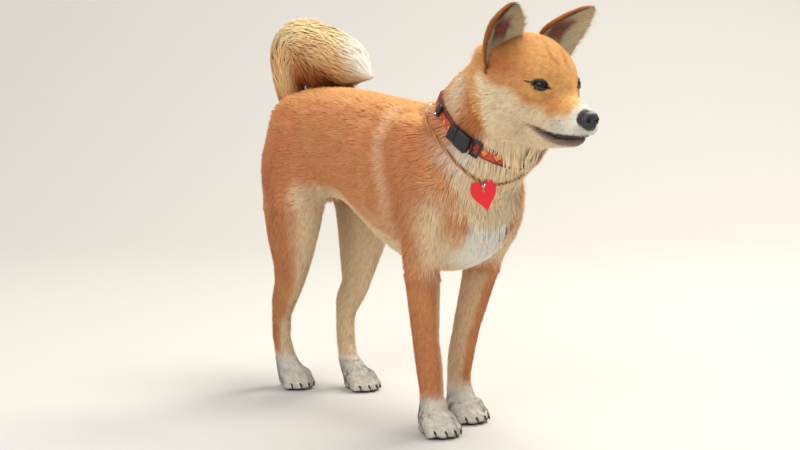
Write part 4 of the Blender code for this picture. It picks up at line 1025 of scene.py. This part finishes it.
def grow_tail(skin, corners, places):
    """The brush: tufts that leave the core and run along the tail's curl."""
    tree = BVHTree.FromPolygons([Vector(p) for p in skin.points], [tuple(row) for row in corners.tolist()])
    count = BRUSH_TUFTS
    marks = np.interp(RANDOM.uniform(0, 1, count * 2), np.linspace(0, 1, 200),
                      np.linspace(BRUSH_START, TAIL.length - BRUSH_END, 200))
    radius = np.interp(marks, TAIL.marks, TAIL.radii)
    marks = marks[RANDOM.uniform(0, BRUSH_RADIUS, count * 2) < radius][:count]
    count = len(marks)
    angles = RANDOM.uniform(0, math.tau, count)
    length = BRUSH_LENGTH * RANDOM.uniform(0.70, 1.15, count)
    length = np.minimum(length, TAIL.length + TAIL.OVERHANG - 0.0005 - marks)
    swirl = (0.10 * ripple(np.column_stack([marks, angles * 0.02, angles * 0]), 0.05, 71)
             + RANDOM.normal(0, 0.06, count))
    top = 1.0 - 0.30 * RANDOM.uniform(0, 1, count) ** 2 + RANDOM.normal(0, 0.025, count)
    spines = np.empty((count, BRUSH_RINGS + 1, 3))
    outs = np.empty((count, BRUSH_RINGS + 1, 3))
    for k in range(BRUSH_RINGS + 1):
        s = k / BRUSH_RINGS
        share = TAIL_CORE * 0.9 + (top - TAIL_CORE * 0.9) * (1 - (1 - s) ** 2.6)
        spines[:, k], outs[:, k], _ = TAIL.place(marks + length * s, angles + swirl * s, share)
    # Hair under the brush hangs down to the back
    past = spines[:, -1] - np.array(TAIL_ROOT)
    under = (ramp(-outs[:, -1, 2], 0.10, 0.75) * ramp(past[:, 0], -0.008, 0.004)
             * ramp(0.070 - past[:, 0], 0, 0.02))
    hang = under * RANDOM.uniform(0.25, 1.0, count) * UNDER_HANG
    for k in range(1, BRUSH_RINGS + 1):
        spines[:, k, 2] -= hang * (k / BRUSH_RINGS) ** 1.5
    low = np.array(TAIL_ROOT)[2] - 0.004
    spines[:, :, 2] = np.maximum(spines[:, :, 2], low + RANDOM.uniform(-0.002, 0.004, count)[:, None])
    colour = brush_colour(spines[:, 2], outs[:, 2])
    bright = 1 + 0.05 * ripple(spines[:, 1], 0.008, 72) + RANDOM.normal(0, 0.05, count)
    colour = np.clip(colour * bright[:, None], DARKEST, BRIGHTEST)
    spots = np.array([places[tree.find_nearest(Vector(p))[2]].mean(axis=0) for p in spines[:, 0]])
    # Roots are painted darker and redder, as painted shade inside the brush, and tips lighter, as painted
    # light.
    coat_pieces("coat_tail", {"spines": spines, "outs": outs,
                              "widths": BRUSH_WIDTH * RANDOM.uniform(0.75, 1.25, count),
                              "colours": colour * np.array([0.94, 0.88, 0.82]),
                              "tips": np.clip(colour * 1.05, 0, BRIGHTEST), "places": spots}, FUR)


# Ears
EAR_EDGES = [
    ((-0.064, 0.014, 0.024), (-0.0500, 0.0600, 0.014)),
    ((-0.057, 0.0135, 0.037), (-0.0445, 0.0635, 0.029)),
    ((-0.051, 0.0135, 0.048), (-0.0395, 0.0650, 0.043)),
    ((-0.0436, 0.0155, 0.058), (-0.0322, 0.0655, 0.056)),
    ((-0.0350, 0.0210, 0.066), (-0.0262, 0.0645, 0.065)),
    ((-0.0270, 0.0290, 0.0735), (-0.0190, 0.0625, 0.0730)),
    ((-0.0185, 0.0385, 0.0805), (-0.0122, 0.0605, 0.0798)),
    ((-0.0120, 0.0465, 0.0850), (-0.0092, 0.0580, 0.0844)),
    ((-0.0090, 0.0515, 0.0868), (-0.0080, 0.0550, 0.0866)),
]
EAR_LIFTS = {-1: 0.0018, 1: -0.0034}
# The coat widens each ear, more so the one turned to the side, and rolls over its rear edge
EAR_WIDENING, EAR_RIM = {-1: 0.0042, 1: 0.0006}, 0.0038
# So many rows of the ear's outer edge turn in to the head
EAR_FOOT = 12
EAR_BACK = Vector((-0.76, 0, 0.65))
EAR_THICKNESS = 0.0024


EAR_COLUMNS = 25
# Ways in which the left ear's edges move: its foot in to the head, its outer edge, and its rolled rims
FOOT_PULL, WIDEN_WAY = np.array([-0.013, -0.007, -0.004]), np.array([-0.5, 1, 0.1])
OUTER_RIM_WAY, INNER_RIM_WAY = np.array([-0.75, 0.8, 0.1]), np.array([-0.4, -0.9, 0.2])


def ear_edge(side, row, i, t, outside):
    """The two ends of a row of the ear's points."""
    mirror = np.array([1, side, 1])
    inner, outer = row[:3] * mirror, row[3:] * mirror
    inner[2] += EAR_LIFTS[side] * t
    outer[2] += EAR_LIFTS[side] * t
    if i < EAR_FOOT:
        outer += FOOT_PULL * mirror * (1 - i / EAR_FOOT)
    swell = math.sin(math.pi * min(max((t - 0.06) / 0.94, 0), 1)) ** 0.6
    outer += WIDEN_WAY * mirror * EAR_WIDENING[side] * swell
    if outside and side < 0:
        outer += OUTER_RIM_WAY * mirror * EAR_RIM * swell
    elif outside:
        inner += INNER_RIM_WAY * mirror * EAR_RIM * swell
    return inner, outer


def blade_faces(rows, columns):
    """Faces of a closed blade: two grids of points, joined along their edges."""
    faces = []
    size = rows * columns
    for i in range(rows - 1):
        for j in range(columns - 1):
            a = i * columns + j
            faces.append((a, a + 1, a + columns + 1, a + columns))
            faces.append((size + a, size + a + columns, size + a + columns + 1, size + a + 1))
        for j in (0, columns - 1):
            a = i * columns + j
            faces.append((a, a + columns, size + a + columns, size + a))
    for j in range(columns - 1):
        for i in (0, rows - 1):
            a = i * columns + j
            faces.append((a + 1, a, size + a, size + a + 1))
    return faces


def ear_surface(side, name):
    """The ear's leather: a cupped blade, with how far up and across each point lies."""
    rows = catmull([[*inner, *outer] for inner, outer in EAR_EDGES], 4)
    count, columns = len(rows), EAR_COLUMNS
    points = []
    for inside in (0, 1):
        for i, row in enumerate(rows):
            t = i / (count - 1)
            inner, outer = ear_edge(side, row, i, t, not inside)
            width = np.linalg.norm(outer - inner)
            for j in range(columns):
                v = -1 + 2 * j / (columns - 1)
                arch = (0.25 - 0.07 * t) * width * (1 - v * v) ** 0.8
                thick = 0.0006 + (EAR_THICKNESS - 0.0010 * t) * (1 - 0.75 * v * v) * inside
                middle = inner + (outer - inner) * (v * 0.97 + 1) / 2
                points.append(middle + np.array(EAR_BACK) * (arch - thick))
    obj = new_object(name, [HEAD_FRAME @ Vector(p) for p in points], blade_faces(count, columns))
    bm = bmesh.new()
    bm.from_mesh(obj.data)
    finish_faces(bm)
    bm.to_mesh(obj.data)
    bm.free()
    up = np.repeat(np.linspace(0, 1, count), columns)
    across = np.tile(np.linspace(-1, 1, columns), count)
    return obj, np.tile(up, 2), np.tile(across, 2), np.repeat([0.0, 1.0], count * columns)


def make_ear(side, name):
    """One ear with its short fur, orange behind, cream along the edges and bare in the cup."""
    obj, up, across, inside = ear_surface(side, "ear_skin_" + name)
    unwrap(obj)
    points, normals = arrays_of(obj.data)
    edge = np.abs(across)
    colour = np.tile(ORANGE, (len(points), 1))
    colour = paint(colour, DEEP_RED, 0.5 * ramp(ripple(points, 0.015, 51), 0, 1))
    cup = inside * ramp(0.80 - edge, 0, 0.15)
    colour = paint(colour, CREAM, inside * (1 - ramp(-side * across, 0.76, 0.92)))
    hollow = cup * ramp(0.50 - edge + 0.10 * ripple(points, 0.012, 52), 0, 0.2) * ramp(0.64 - up, 0, 0.25)
    hollow *= ramp(up, 0.10, 0.28)
    colour = paint(colour, EAR_SKIN * (1 + 0.25 * ripple(points, 0.006, 53))[:, None], hollow)
    store_colour(obj.data, colour)
    finish_piece(obj, HIDE, ["ear_" + name])
    corners, places = triangles_of(obj.data)
    tip_way = np.array(HEAD_FRAME.to_3x3() @ Vector((0.45, side * 0.25, 0.85)))
    way = np.tile(tip_way, (len(points), 1))
    outward = np.array(HEAD_FRAME.to_3x3() @ Vector((0, side, 0)))
    way = way + outward * (across * inside * 0.9)[:, None]
    way = along_skin(way, normals)
    length = 0.0040 + 0.0052 * inside * ramp(edge, 0.35, 0.8) * ramp(0.9 - up, 0, 0.5)
    bald = inside * hollow
    length = length * (1 - 0.45 * bald)
    width = np.clip(length * 0.16, 0.0007, 0.0013)
    density = (3.2 - 2.2 * bald) / (length * width * 0.5)
    which, weights = scatter(corners, points, density)

    at = share_out(corners, which, weights)
    count = len(which)
    normal = unit(at(normals))
    hair = unit(at(way) + RANDOM.normal(0, 0.12, (count, 3)))
    hair = along_skin(hair, normal)
    shade = np.clip(at(colour) * (1 + RANDOM.normal(0, 0.10, count))[:, None], DARKEST, BRIGHTEST)
    length = at(length) * RANDOM.uniform(0.7, 1.25, count)
    lift = (0.0009 + 0.0012 * at(inside * edge)) * RANDOM.uniform(0.5, 1.5, count)
    spines, outs = bowed(at(points), normal, hair, length, lift, 1)
    # Roots are painted darker, as painted shade in the ear's fur, and tips lighter, as painted light.
    coat_pieces("coat_ear_" + name, {
        "spines": spines, "outs": outs, "widths": at(width), "colours": shade * 0.85,
        "tips": np.clip(shade * 1.06, 0, BRIGHTEST), "places": weighted(places[which], weights)}, FUR)


# Eyes
# Reach along the eye's slit and rise above it, at the start and end of each corner's line
# The corners' dark lines stand for lashes and for painted shadow of the lids.
CORNER_REAR, CORNER_REAR_RISE = (0.0078, 0.0145), (0.0002, 0.0008)
CORNER_FRONT, CORNER_FRONT_RISE = (-0.0078, -0.0122), (-0.0002, -0.0026)
CORNER_STAND, CORNER_RADIUS = 0.0009, 0.0014


# The eyeball's share of a half turn, and how far its clear front stands out, over what angle
BALL_SHARE, BULGE, BULGE_ANGLE, BALL_STEPS, BALL_RINGS = 0.62, 0.0007, 0.72, 40, 28
LID_STEPS, LID_STAND, LID_LEAST, UPPER_LID, LOWER_LID = 48, 0.0005, 0.0022, 0.0014, 0.0010


def eyeball_mesh(name, place):
    bm = bmesh.new()
    points = []
    for i in range(BALL_RINGS + 1):
        a = math.pi * i / BALL_RINGS * BALL_SHARE
        bulge = BULGE * (1 - min(a / BULGE_ANGLE, 1.0) ** 2)
        for j in range(BALL_STEPS):
            b = math.tau * j / BALL_STEPS
            radius = EYE_RADIUS - 0.0001 + bulge
            way = Vector((math.cos(a), math.sin(a) * math.cos(b), math.sin(a) * math.sin(b)))
            points.append(place @ (way * radius))
    verts = [bm.verts.new(p) for p in points]
    for i in range(BALL_RINGS):
        for j in range(BALL_STEPS):
            a, b = i * BALL_STEPS + j, i * BALL_STEPS + (j + 1) % BALL_STEPS
            bm.faces.new((verts[a], verts[b], verts[b + BALL_STEPS], verts[a + BALL_STEPS]))
    bmesh.ops.remove_doubles(bm, verts=bm.verts, dist=0.00001)
    bmesh.ops.contextual_create(bm, geom=[e for e in bm.edges if e.is_boundary])
    finish_faces(bm)
    return object_of(name, bm)


def make_eyeball(side, name):
    """A wet dark eyeball with its iris and pupil."""
    obj = eyeball_mesh("eyeball_" + name, eye_frame(side))
    spots, _ = arrays_of(obj.data)
    local = seen_from(eye_frame(side), spots)
    angle = np.arctan2(np.hypot(local[:, 1], local[:, 2]), local[:, 0])
    turn = np.arctan2(local[:, 2], local[:, 1])
    colour = np.tile(EYE_WHITE, (len(spots), 1))
    streak = 1 + 0.25 * np.sin(turn * 23 + np.sin(turn * 7) * 2)
    colour = paint(colour, IRIS * 0.35, 1 - ramp(angle, 0.74, 0.86))
    colour = paint(colour, IRIS, (1 - ramp(angle, 0.60, 0.74)) * 0.8)
    colour = colour * (1 + (streak - 1) * (1 - ramp(angle, 0.6, 0.75)))[:, None]
    colour = paint(colour, PUPIL, 1 - ramp(angle, 0.30, 0.36))
    store_colour(obj.data, colour)
    finish_piece(obj, EYE_GLOSS, ["eye_" + name])


def make_lids(side, name, gaze):
    """The dark rims of the lids."""
    line, radii = [], []
    for k in range(LID_STEPS):
        a = math.tau * k / LID_STEPS
        reach, rise = math.cos(a), math.sin(a)
        along = EYE_HALF_LENGTH * 1.02 * reach
        up = EYE_HALF_HEIGHT * rise * (1 - LID_TAPER * abs(reach) ** 3)
        out = math.sqrt(max(EYE_RADIUS ** 2 - along ** 2 - up ** 2, 0)) + LID_STAND
        line.append(lid_frame(side) @ Vector((max(out, LID_LEAST), along, up)))
        radii.append(UPPER_LID if rise > 0 else LOWER_LID)
    finish_piece(tube("lid_" + name, line, radii, 8, closed=True, up=gaze), LID)


def make_eye(side, name, tree):
    """An eye with its lids and the dark lines that run on from its corners, for lashes and painted lid
    shadow.
    """
    gaze = eye_frame(side).col[0].to_3d()
    make_eyeball(side, name)
    make_lids(side, name, gaze)
    marks = np.linspace(0, 1, 7)
    for end, reaches, rises in (("rear", CORNER_REAR, CORNER_REAR_RISE),
                                ("front", CORNER_FRONT, CORNER_FRONT_RISE)):
        places = zip(np.interp(marks, [0, 1], reaches), np.interp(marks, [0, 1], rises))
        starts = [lid_frame(side) @ Vector((0.03, side * reach, rise)) for reach, rise in places]
        hits = [tree.ray_cast(start, -gaze)[0] for start in starts]
        line = [hit + gaze * CORNER_STAND for hit in hits if hit is not None]
        radii = [CORNER_RADIUS * (1 - 0.85 * k / len(line)) for k in range(len(line))]
        finish_piece(tube(f"eye_corner_{end}_{name}", line, radii, 8, flat=0.6, up=gaze), LID)


# Nose and mouth
def head_ball(bm, centre, radii):
    made = bmesh.ops.create_icosphere(bm, subdivisions=4, radius=1.0)
    matrix = HEAD_FRAME @ Matrix.Translation(centre) @ Matrix.Diagonal((*radii, 1))
    bmesh.ops.transform(bm, matrix=matrix, verts=made["verts"])


NOSE_VOXEL = 0.0005
# Each nostril's hole and slit: its place across and up, width, height and depth, and where it begins and ends
NOSTRIL = ((0.0056, -0.0362, 0.0021, 0.0018, 0.0034, 0.052, 0.056),
           (0.0088, -0.0374, 0.0026, 0.0009, 0.0016, 0.045, 0.050))
GROOVE_DEPTH, GROOVE_WIDTH = 0.0007, 0.0008


def make_nose():
    """The nose leather: a pad with two wings, comma nostrils and a groove down its middle."""
    bm = bmesh.new()
    head_ball(bm, (0.0505, 0, -0.0335), (0.0100, 0.0112, 0.0080))
    head_ball(bm, (0.0535, 0, -0.0395), (0.0070, 0.0075, 0.0085))
    for side in SIDES.values():
        head_ball(bm, (0.0503, side * 0.0064, -0.0360), (0.0086, 0.0062, 0.0066))
    obj = object_of("nose_leather", bm)
    fuse(obj, NOSE_VOXEL)
    soft = obj.modifiers.new("soft", "SMOOTH")
    soft.iterations = 8
    bake_modifiers(obj)
    points, normals = arrays_of(obj.data)
    x, y, z = in_head(points).T
    push = np.zeros(len(points))
    for side in SIDES.values():
        hollows = []
        for across, up, wide, high, deep, start, full in NOSTRIL:
            near = np.exp(-(((y - side * across) / wide) ** 2 + ((z - up) / high) ** 2))
            hollows.append(deep * (near * ramp(x, start, full)))
        push -= sum(hollows)
    push -= GROOVE_DEPTH * np.exp(-(y / GROOVE_WIDTH) ** 2) * ramp(-z, 0.033, 0.037)
    move_points(obj.data, points + normals * push[:, None])
    obj.data.shade_smooth()
    colour = np.tile(tone(38, 34, 40), (len(points), 1))
    # The nose is painted darker where it is pushed in deepest: painted shade in the hollows of the nostrils.
    colour = paint(colour, tone(8, 6, 7), ramp(-push, 0.0006, 0.0024))
    store_colour(obj.data, colour)
    finish_piece(obj, NOSE, ["nose"])


# Degrees to each side of the nose, places along the lips, and where the path is looked for
LIP_REACH, LIP_STEPS = 125, 61
MUZZLE_MIDDLE, MUZZLE_REACH, FIRST_HEIGHT = 0.012, 0.09, -0.0545


def mouth_path(tree, drop, sink):
    """Places on the muzzle along the parting of the lips, from one corner round to the other."""
    path = []
    for angle in np.linspace(-LIP_REACH, LIP_REACH, LIP_STEPS):
        a = math.radians(angle)
        way = Vector((math.cos(a), math.sin(a), 0))
        height = FIRST_HEIGHT
        for _ in range(3):
            start = HEAD_FRAME @ (Vector((MUZZLE_MIDDLE, 0, height)) + way * MUZZLE_REACH)
            hit = tree.ray_cast(start, HEAD_FRAME.to_3x3() @ -way)[0]
            local = HEAD_FRAME.inverted() @ hit
            height = float(np.interp(local.x, MOUTH_X, MOUTH_Z)) + drop
        local.z = height
        path.append(HEAD_FRAME @ (local - way * sink))
    return path


def make_mouth(tree):
    """The parting of the lips and the dark lower lip under it."""
    upper = mouth_path(tree, 0.0004, 0.0006)
    lower = mouth_path(tree, -0.0016, 0.0008)
    count = len(upper)
    swell = [max(math.sin(math.pi * i / (count - 1)), 0.0) ** 0.35 for i in range(count)]
    lower = [a.lerp(b, s) for a, b, s in zip(upper, lower, swell)]
    finish_piece(tube("lip_line", upper, [0.0004 + 0.0005 * s for s in swell], 8), LIP)
    finish_piece(tube("lip_lower", lower, [0.0005 + 0.0013 * s for s in swell], 10, flat=0.9),
                 LIP)


def make_claws():
    """Four dark claws on each foot, sunk into the toes."""
    paws = {"front_paw_right": (0.080, -0.036, -3, 1.0), "front_paw_left": (0.031, 0.037, 4, 1.0),
            "hind_paw_right": (-0.265, -0.027, -3, 0.92), "hind_paw_left": (-0.206, 0.036, 4, 0.92)}
    toes = [(0.0150, -0.0170), (0.0225, -0.0062), (0.0225, 0.0062), (0.0150, 0.0170)]
    for name, (x, y, heading, size) in paws.items():
        place = (Matrix.Translation((x, y, 0)) @ Matrix.Rotation(math.radians(heading), 4, "Z")
                 @ Matrix.Scale(size, 4))
        whole = bmesh.new()
        for reach, across in toes:
            rows = catmull([(reach + 0.0040, 0.0098, 0.0024), (reach + 0.0095, 0.0092, 0.0021),
                            (reach + 0.0125, 0.0068, 0.0014), (reach + 0.0140, 0.0040, 0.0003)], 4)
            one = tube("claw", [Vector((a, across, b)) for a, b, _ in rows], [r for _, _, r in rows], 10,
                       up=Vector((0, 1, 0)), flat=0.7)
            one.data.transform(place)
            whole.from_mesh(one.data)
            bpy.data.objects.remove(one)
        obj = object_of("claws_" + name, whole)
        finish_piece(obj, CLAW)


# What the dog wears
def math_node(made, operation, first, second=None):
    node = add_node(made, "ShaderNodeMath", operation=operation)
    for socket, value in zip(node.inputs, (first, second)):
        if value is None:
            continue
        if isinstance(value, (int, float)):
            socket.default_value = value
        else:
            wire(made, value, socket)
    return node.outputs[0]


def apart(made, value, mark):
    """How far a node's output is from a number."""
    return math_node(made, "ABSOLUTE", math_node(made, "SUBTRACT", value, mark))


def mixed(made, share, colour, other):
    """One colour turned into another by a share, as a node's output."""
    node = add_node(made, "ShaderNodeMix", data_type="RGBA")
    wire(made, share, node.inputs["Factor"])
    for socket, value in ((node.inputs["A"], colour), (node.inputs["B"], other)):
        if hasattr(value, "links"):
            wire(made, value, socket)
        else:
            socket.default_value = (*value, 1)
    return node.outputs["Result"]


LOZENGES, STRAP_HALF = 30, 0.0085


def woven_strap(node):
    """Red-orange webbing with dark edges and a row of yellow lozenges woven in."""
    points, _ = arrays_of(node.data)
    middle = points.mean(axis=0)
    _, _, ways = np.linalg.svd(points - middle, full_matrices=False)
    made = material("woven strap", tone(198, 64, 38), 0.72)
    place = add_node(made, "ShaderNodeNewGeometry")
    past = add_node(made, "ShaderNodeVectorMath", operation="SUBTRACT")
    wire(made, place.outputs["Position"], past.inputs[0])
    past.inputs[1].default_value = tuple(middle)
    spans = []
    for way in ways:
        dot = add_node(made, "ShaderNodeVectorMath", operation="DOT_PRODUCT")
        wire(made, past.outputs["Vector"], dot.inputs[0])
        dot.inputs[1].default_value = tuple(way)
        spans.append(dot.outputs["Value"])
    across = math_node(made, "ABSOLUTE", spans[2])
    angle = math_node(made, "ARCTAN2", spans[0], spans[1])
    turn = math_node(made, "FRACT", math_node(made, "MULTIPLY", angle, LOZENGES / math.tau))
    from_middle = math_node(made, "MULTIPLY", apart(made, turn, 0.5), 2.0)
    reach = math_node(made, "ADD", from_middle, math_node(made, "DIVIDE", across, STRAP_HALF))
    lozenge = math_node(made, "LESS_THAN", reach, 0.50)
    outline = math_node(made, "LESS_THAN", apart(made, reach, 0.74), 0.09)
    edge = math_node(made, "GREATER_THAN", across, STRAP_HALF * 0.74)
    colour = mixed(made, lozenge, tone(196, 70, 44), tone(222, 140, 56))
    colour = mixed(made, outline, colour, tone(132, 42, 36))
    colour = mixed(made, edge, colour, tone(104, 34, 32))
    wire(made, colour, shader_of(made).inputs["Base Color"])
    weave = add_pattern(made, "ShaderNodeTexNoise", Scale=1600.0, Detail=1.0)
    add_relief(made, weave.outputs["Fac"], 0.5, 0.0004)
    return made


def twisted_cord():
    """Tan cord with the slanting shadows of its strands."""
    made = material("twisted cord", tone(186, 122, 68), 0.65)
    strands = add_pattern(made, "ShaderNodeTexWave", bands_direction="DIAGONAL", Scale=100.0, Distortion=0.6)
    colour = mixed(made, strands.outputs["Fac"], tone(126, 72, 36), tone(206, 146, 88))
    wire(made, colour, shader_of(made).inputs["Base Color"])
    add_relief(made, strands.outputs["Fac"], 0.8, 0.0006)
    return made


# Floor, light and camera
CAMERA_AT = Vector((2.17721, -1.44851, 0.55))
VIEW_TURN = math.radians(57.0)
# In the photograph's pixels: its width, its focal length, and how far its middle lies below the horizon
PHOTO_WIDTH, FOCAL_LENGTH, BELOW_HORIZON = 800, 2200, 263
SENSOR_WIDTH = 36
# The floor runs level to its sweep, which curves up into a wall
FLOOR_REACH, SWEEP_START, SWEEP_RADIUS, WALL_TOP, FLOOR_HALF_WIDTH = -6.0, 1.6, 1.4, 5.0, 7.0
SWEEP_STEPS = 24
LAMP_TARGET = Vector((0, 0, 0.25))
LAMPS = {"key": ((1.3, -2.1, 1.9), 1.6, 26, (1.0, 0.97, 0.92)),
         "top": ((0.3, 0.5, 2.4), 1.4, 38, (1.0, 0.96, 0.88)),
         "rim": ((-0.6, 1.9, 2.1), 1.2, 40, (1.0, 0.92, 0.78))}
SKY, SKY_STRENGTH = (0.96, 0.97, 1.0, 1), 0.78


def make_floor():
    """A pale sweep: the floor curves up into a wall behind the dog."""
    away = Vector((-math.sin(VIEW_TURN), math.cos(VIEW_TURN), 0))
    across = Vector((math.cos(VIEW_TURN), math.sin(VIEW_TURN), 0))
    profile = [(FLOOR_REACH, 0.0), (SWEEP_START, 0.0)]
    for k in range(1, SWEEP_STEPS + 1):
        a = math.pi / 2 * k / SWEEP_STEPS
        profile.append((SWEEP_START + SWEEP_RADIUS * math.sin(a), SWEEP_RADIUS * (1 - math.cos(a))))
    profile.append((SWEEP_START + SWEEP_RADIUS, WALL_TOP))
    points = [away * reach + across * width + Z_AXIS * height for reach, height in profile
              for width in (-FLOOR_HALF_WIDTH, FLOOR_HALF_WIDTH)]
    faces = [(2 * i, 2 * i + 1, 2 * i + 3, 2 * i + 2) for i in range(len(profile) - 1)]
    floor = new_object("floor", points, faces)
    floor.data.shade_smooth()
    made = material("floor paper", tone(206, 203, 198), 0.85)
    speckle = add_node(made, "ShaderNodeTexNoise", Scale=60.0, Detail=4.0)
    add_relief(made, speckle.outputs["Fac"], 0.05, 0.001)
    floor.data.materials.append(made)


def make_sky():
    world = bpy.data.worlds.new("studio")
    bpy.context.scene.world = world
    world.use_nodes = True
    background = world.node_tree.nodes["Background"]
    background.inputs["Color"].default_value = SKY
    background.inputs["Strength"].default_value = SKY_STRENGTH


def lamp(name, place, size, power, colour):
    light = bpy.data.lights.new(name, "AREA")
    light.shape = "DISK"
    light.size = size
    light.energy = power
    light.color = colour
    obj = linked(name, light)
    obj.location = place
    obj.rotation_euler = (LAMP_TARGET - Vector(place)).to_track_quat("-Z", "Y").to_euler()


def make_camera():
    """The photograph's view, from the dog's right and front, a little above its head."""
    down = math.atan(BELOW_HORIZON / FOCAL_LENGTH)
    right = Vector((math.cos(VIEW_TURN), math.sin(VIEW_TURN), 0))
    level = Vector((-math.sin(VIEW_TURN), math.cos(VIEW_TURN), 0))
    ahead = level * math.cos(down) - Z_AXIS * math.sin(down)
    up = level * math.sin(down) + Z_AXIS * math.cos(down)
    data = bpy.data.cameras.new("camera")
    data.sensor_width = SENSOR_WIDTH
    data.lens = FOCAL_LENGTH / PHOTO_WIDTH * SENSOR_WIDTH
    camera = linked("camera", data)
    camera.matrix_world = Matrix((right, up, -ahead)).transposed().to_4x4()
    camera.matrix_world.translation = CAMERA_AT
    bpy.context.scene.camera = camera


make_camera()
make_floor()
make_sky()
for name, values in LAMPS.items():
    lamp(name, *values)
bpy.context.scene.view_settings.view_transform = "Standard"

HIDE = attribute_material("hide under the coat", 0.9, 900.0, 0.15, bump=0.0004, Specular_IOR_Level=0.15)
FUR = attribute_material("fur", 0.62, 500.0, 0.06, Specular_IOR_Level=0.22)
EYE_GLOSS = attribute_material("wet eye", 0.12, 300.0, 0.05, Specular_IOR_Level=0.10, Coat_Weight=0.50,
                               Coat_Roughness=0.02)
LID = material("lid rim", LID_DARK, 0.35)
NOSE = attribute_material("nose leather", 0.32, 1300.0, 0.10, bump=0.0004)
LIP = material("lip", LIP_DARK, 0.38)
CLAW = material("claw horn", tone(52, 40, 34), 0.35)

skin = Skin()
skin.obj.data.shade_smooth()
unwrap(skin.obj)
# The skin is painted a fifth darker than the coat: painted shade in the gaps between the tufts.
store_colour(skin.obj.data, skin.colour * 0.8)
finish_piece(skin.obj, HIDE, FLESH + ["tail"])
corners, places = triangles_of(skin.obj.data)
WORN = ["collar_strap", "buckle_socket", "buckle_plug", "collar_slide", "ring_keeper", "collar_ring",
        "necklace_cord", "tag_ring", "tag_heart"]
worn_tree = tree_of([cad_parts[name] for name in WORN])
grow(skin, corners, places, worn_tree)
grow_tail(skin, corners, places)
skin_tree = tree_of([skin.obj])
for name, side in SIDES.items():
    make_ear(side, name)
    make_eye(side, name, skin_tree)
make_nose()
make_mouth(skin_tree)
make_claws()
BLACK_PLASTIC = material("black plastic", tone(26, 26, 30), 0.38)
STEEL = material("steel", tone(205, 205, 210), 0.18, Metallic=1.0)
DRESS = {"collar_strap": woven_strap(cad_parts["collar_strap"]), "necklace_cord": twisted_cord(),
         "buckle_socket": BLACK_PLASTIC, "buckle_plug": BLACK_PLASTIC, "collar_slide": BLACK_PLASTIC,
         "ring_keeper": BLACK_PLASTIC, "collar_ring": STEEL, "tag_ring": STEEL,
         "tag_heart": material("heart enamel", tone(230, 30, 40), 0.28)}
for name, look in DRESS.items():
    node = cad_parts[name]
    node.data.materials.clear()
    node.data.materials.append(look)
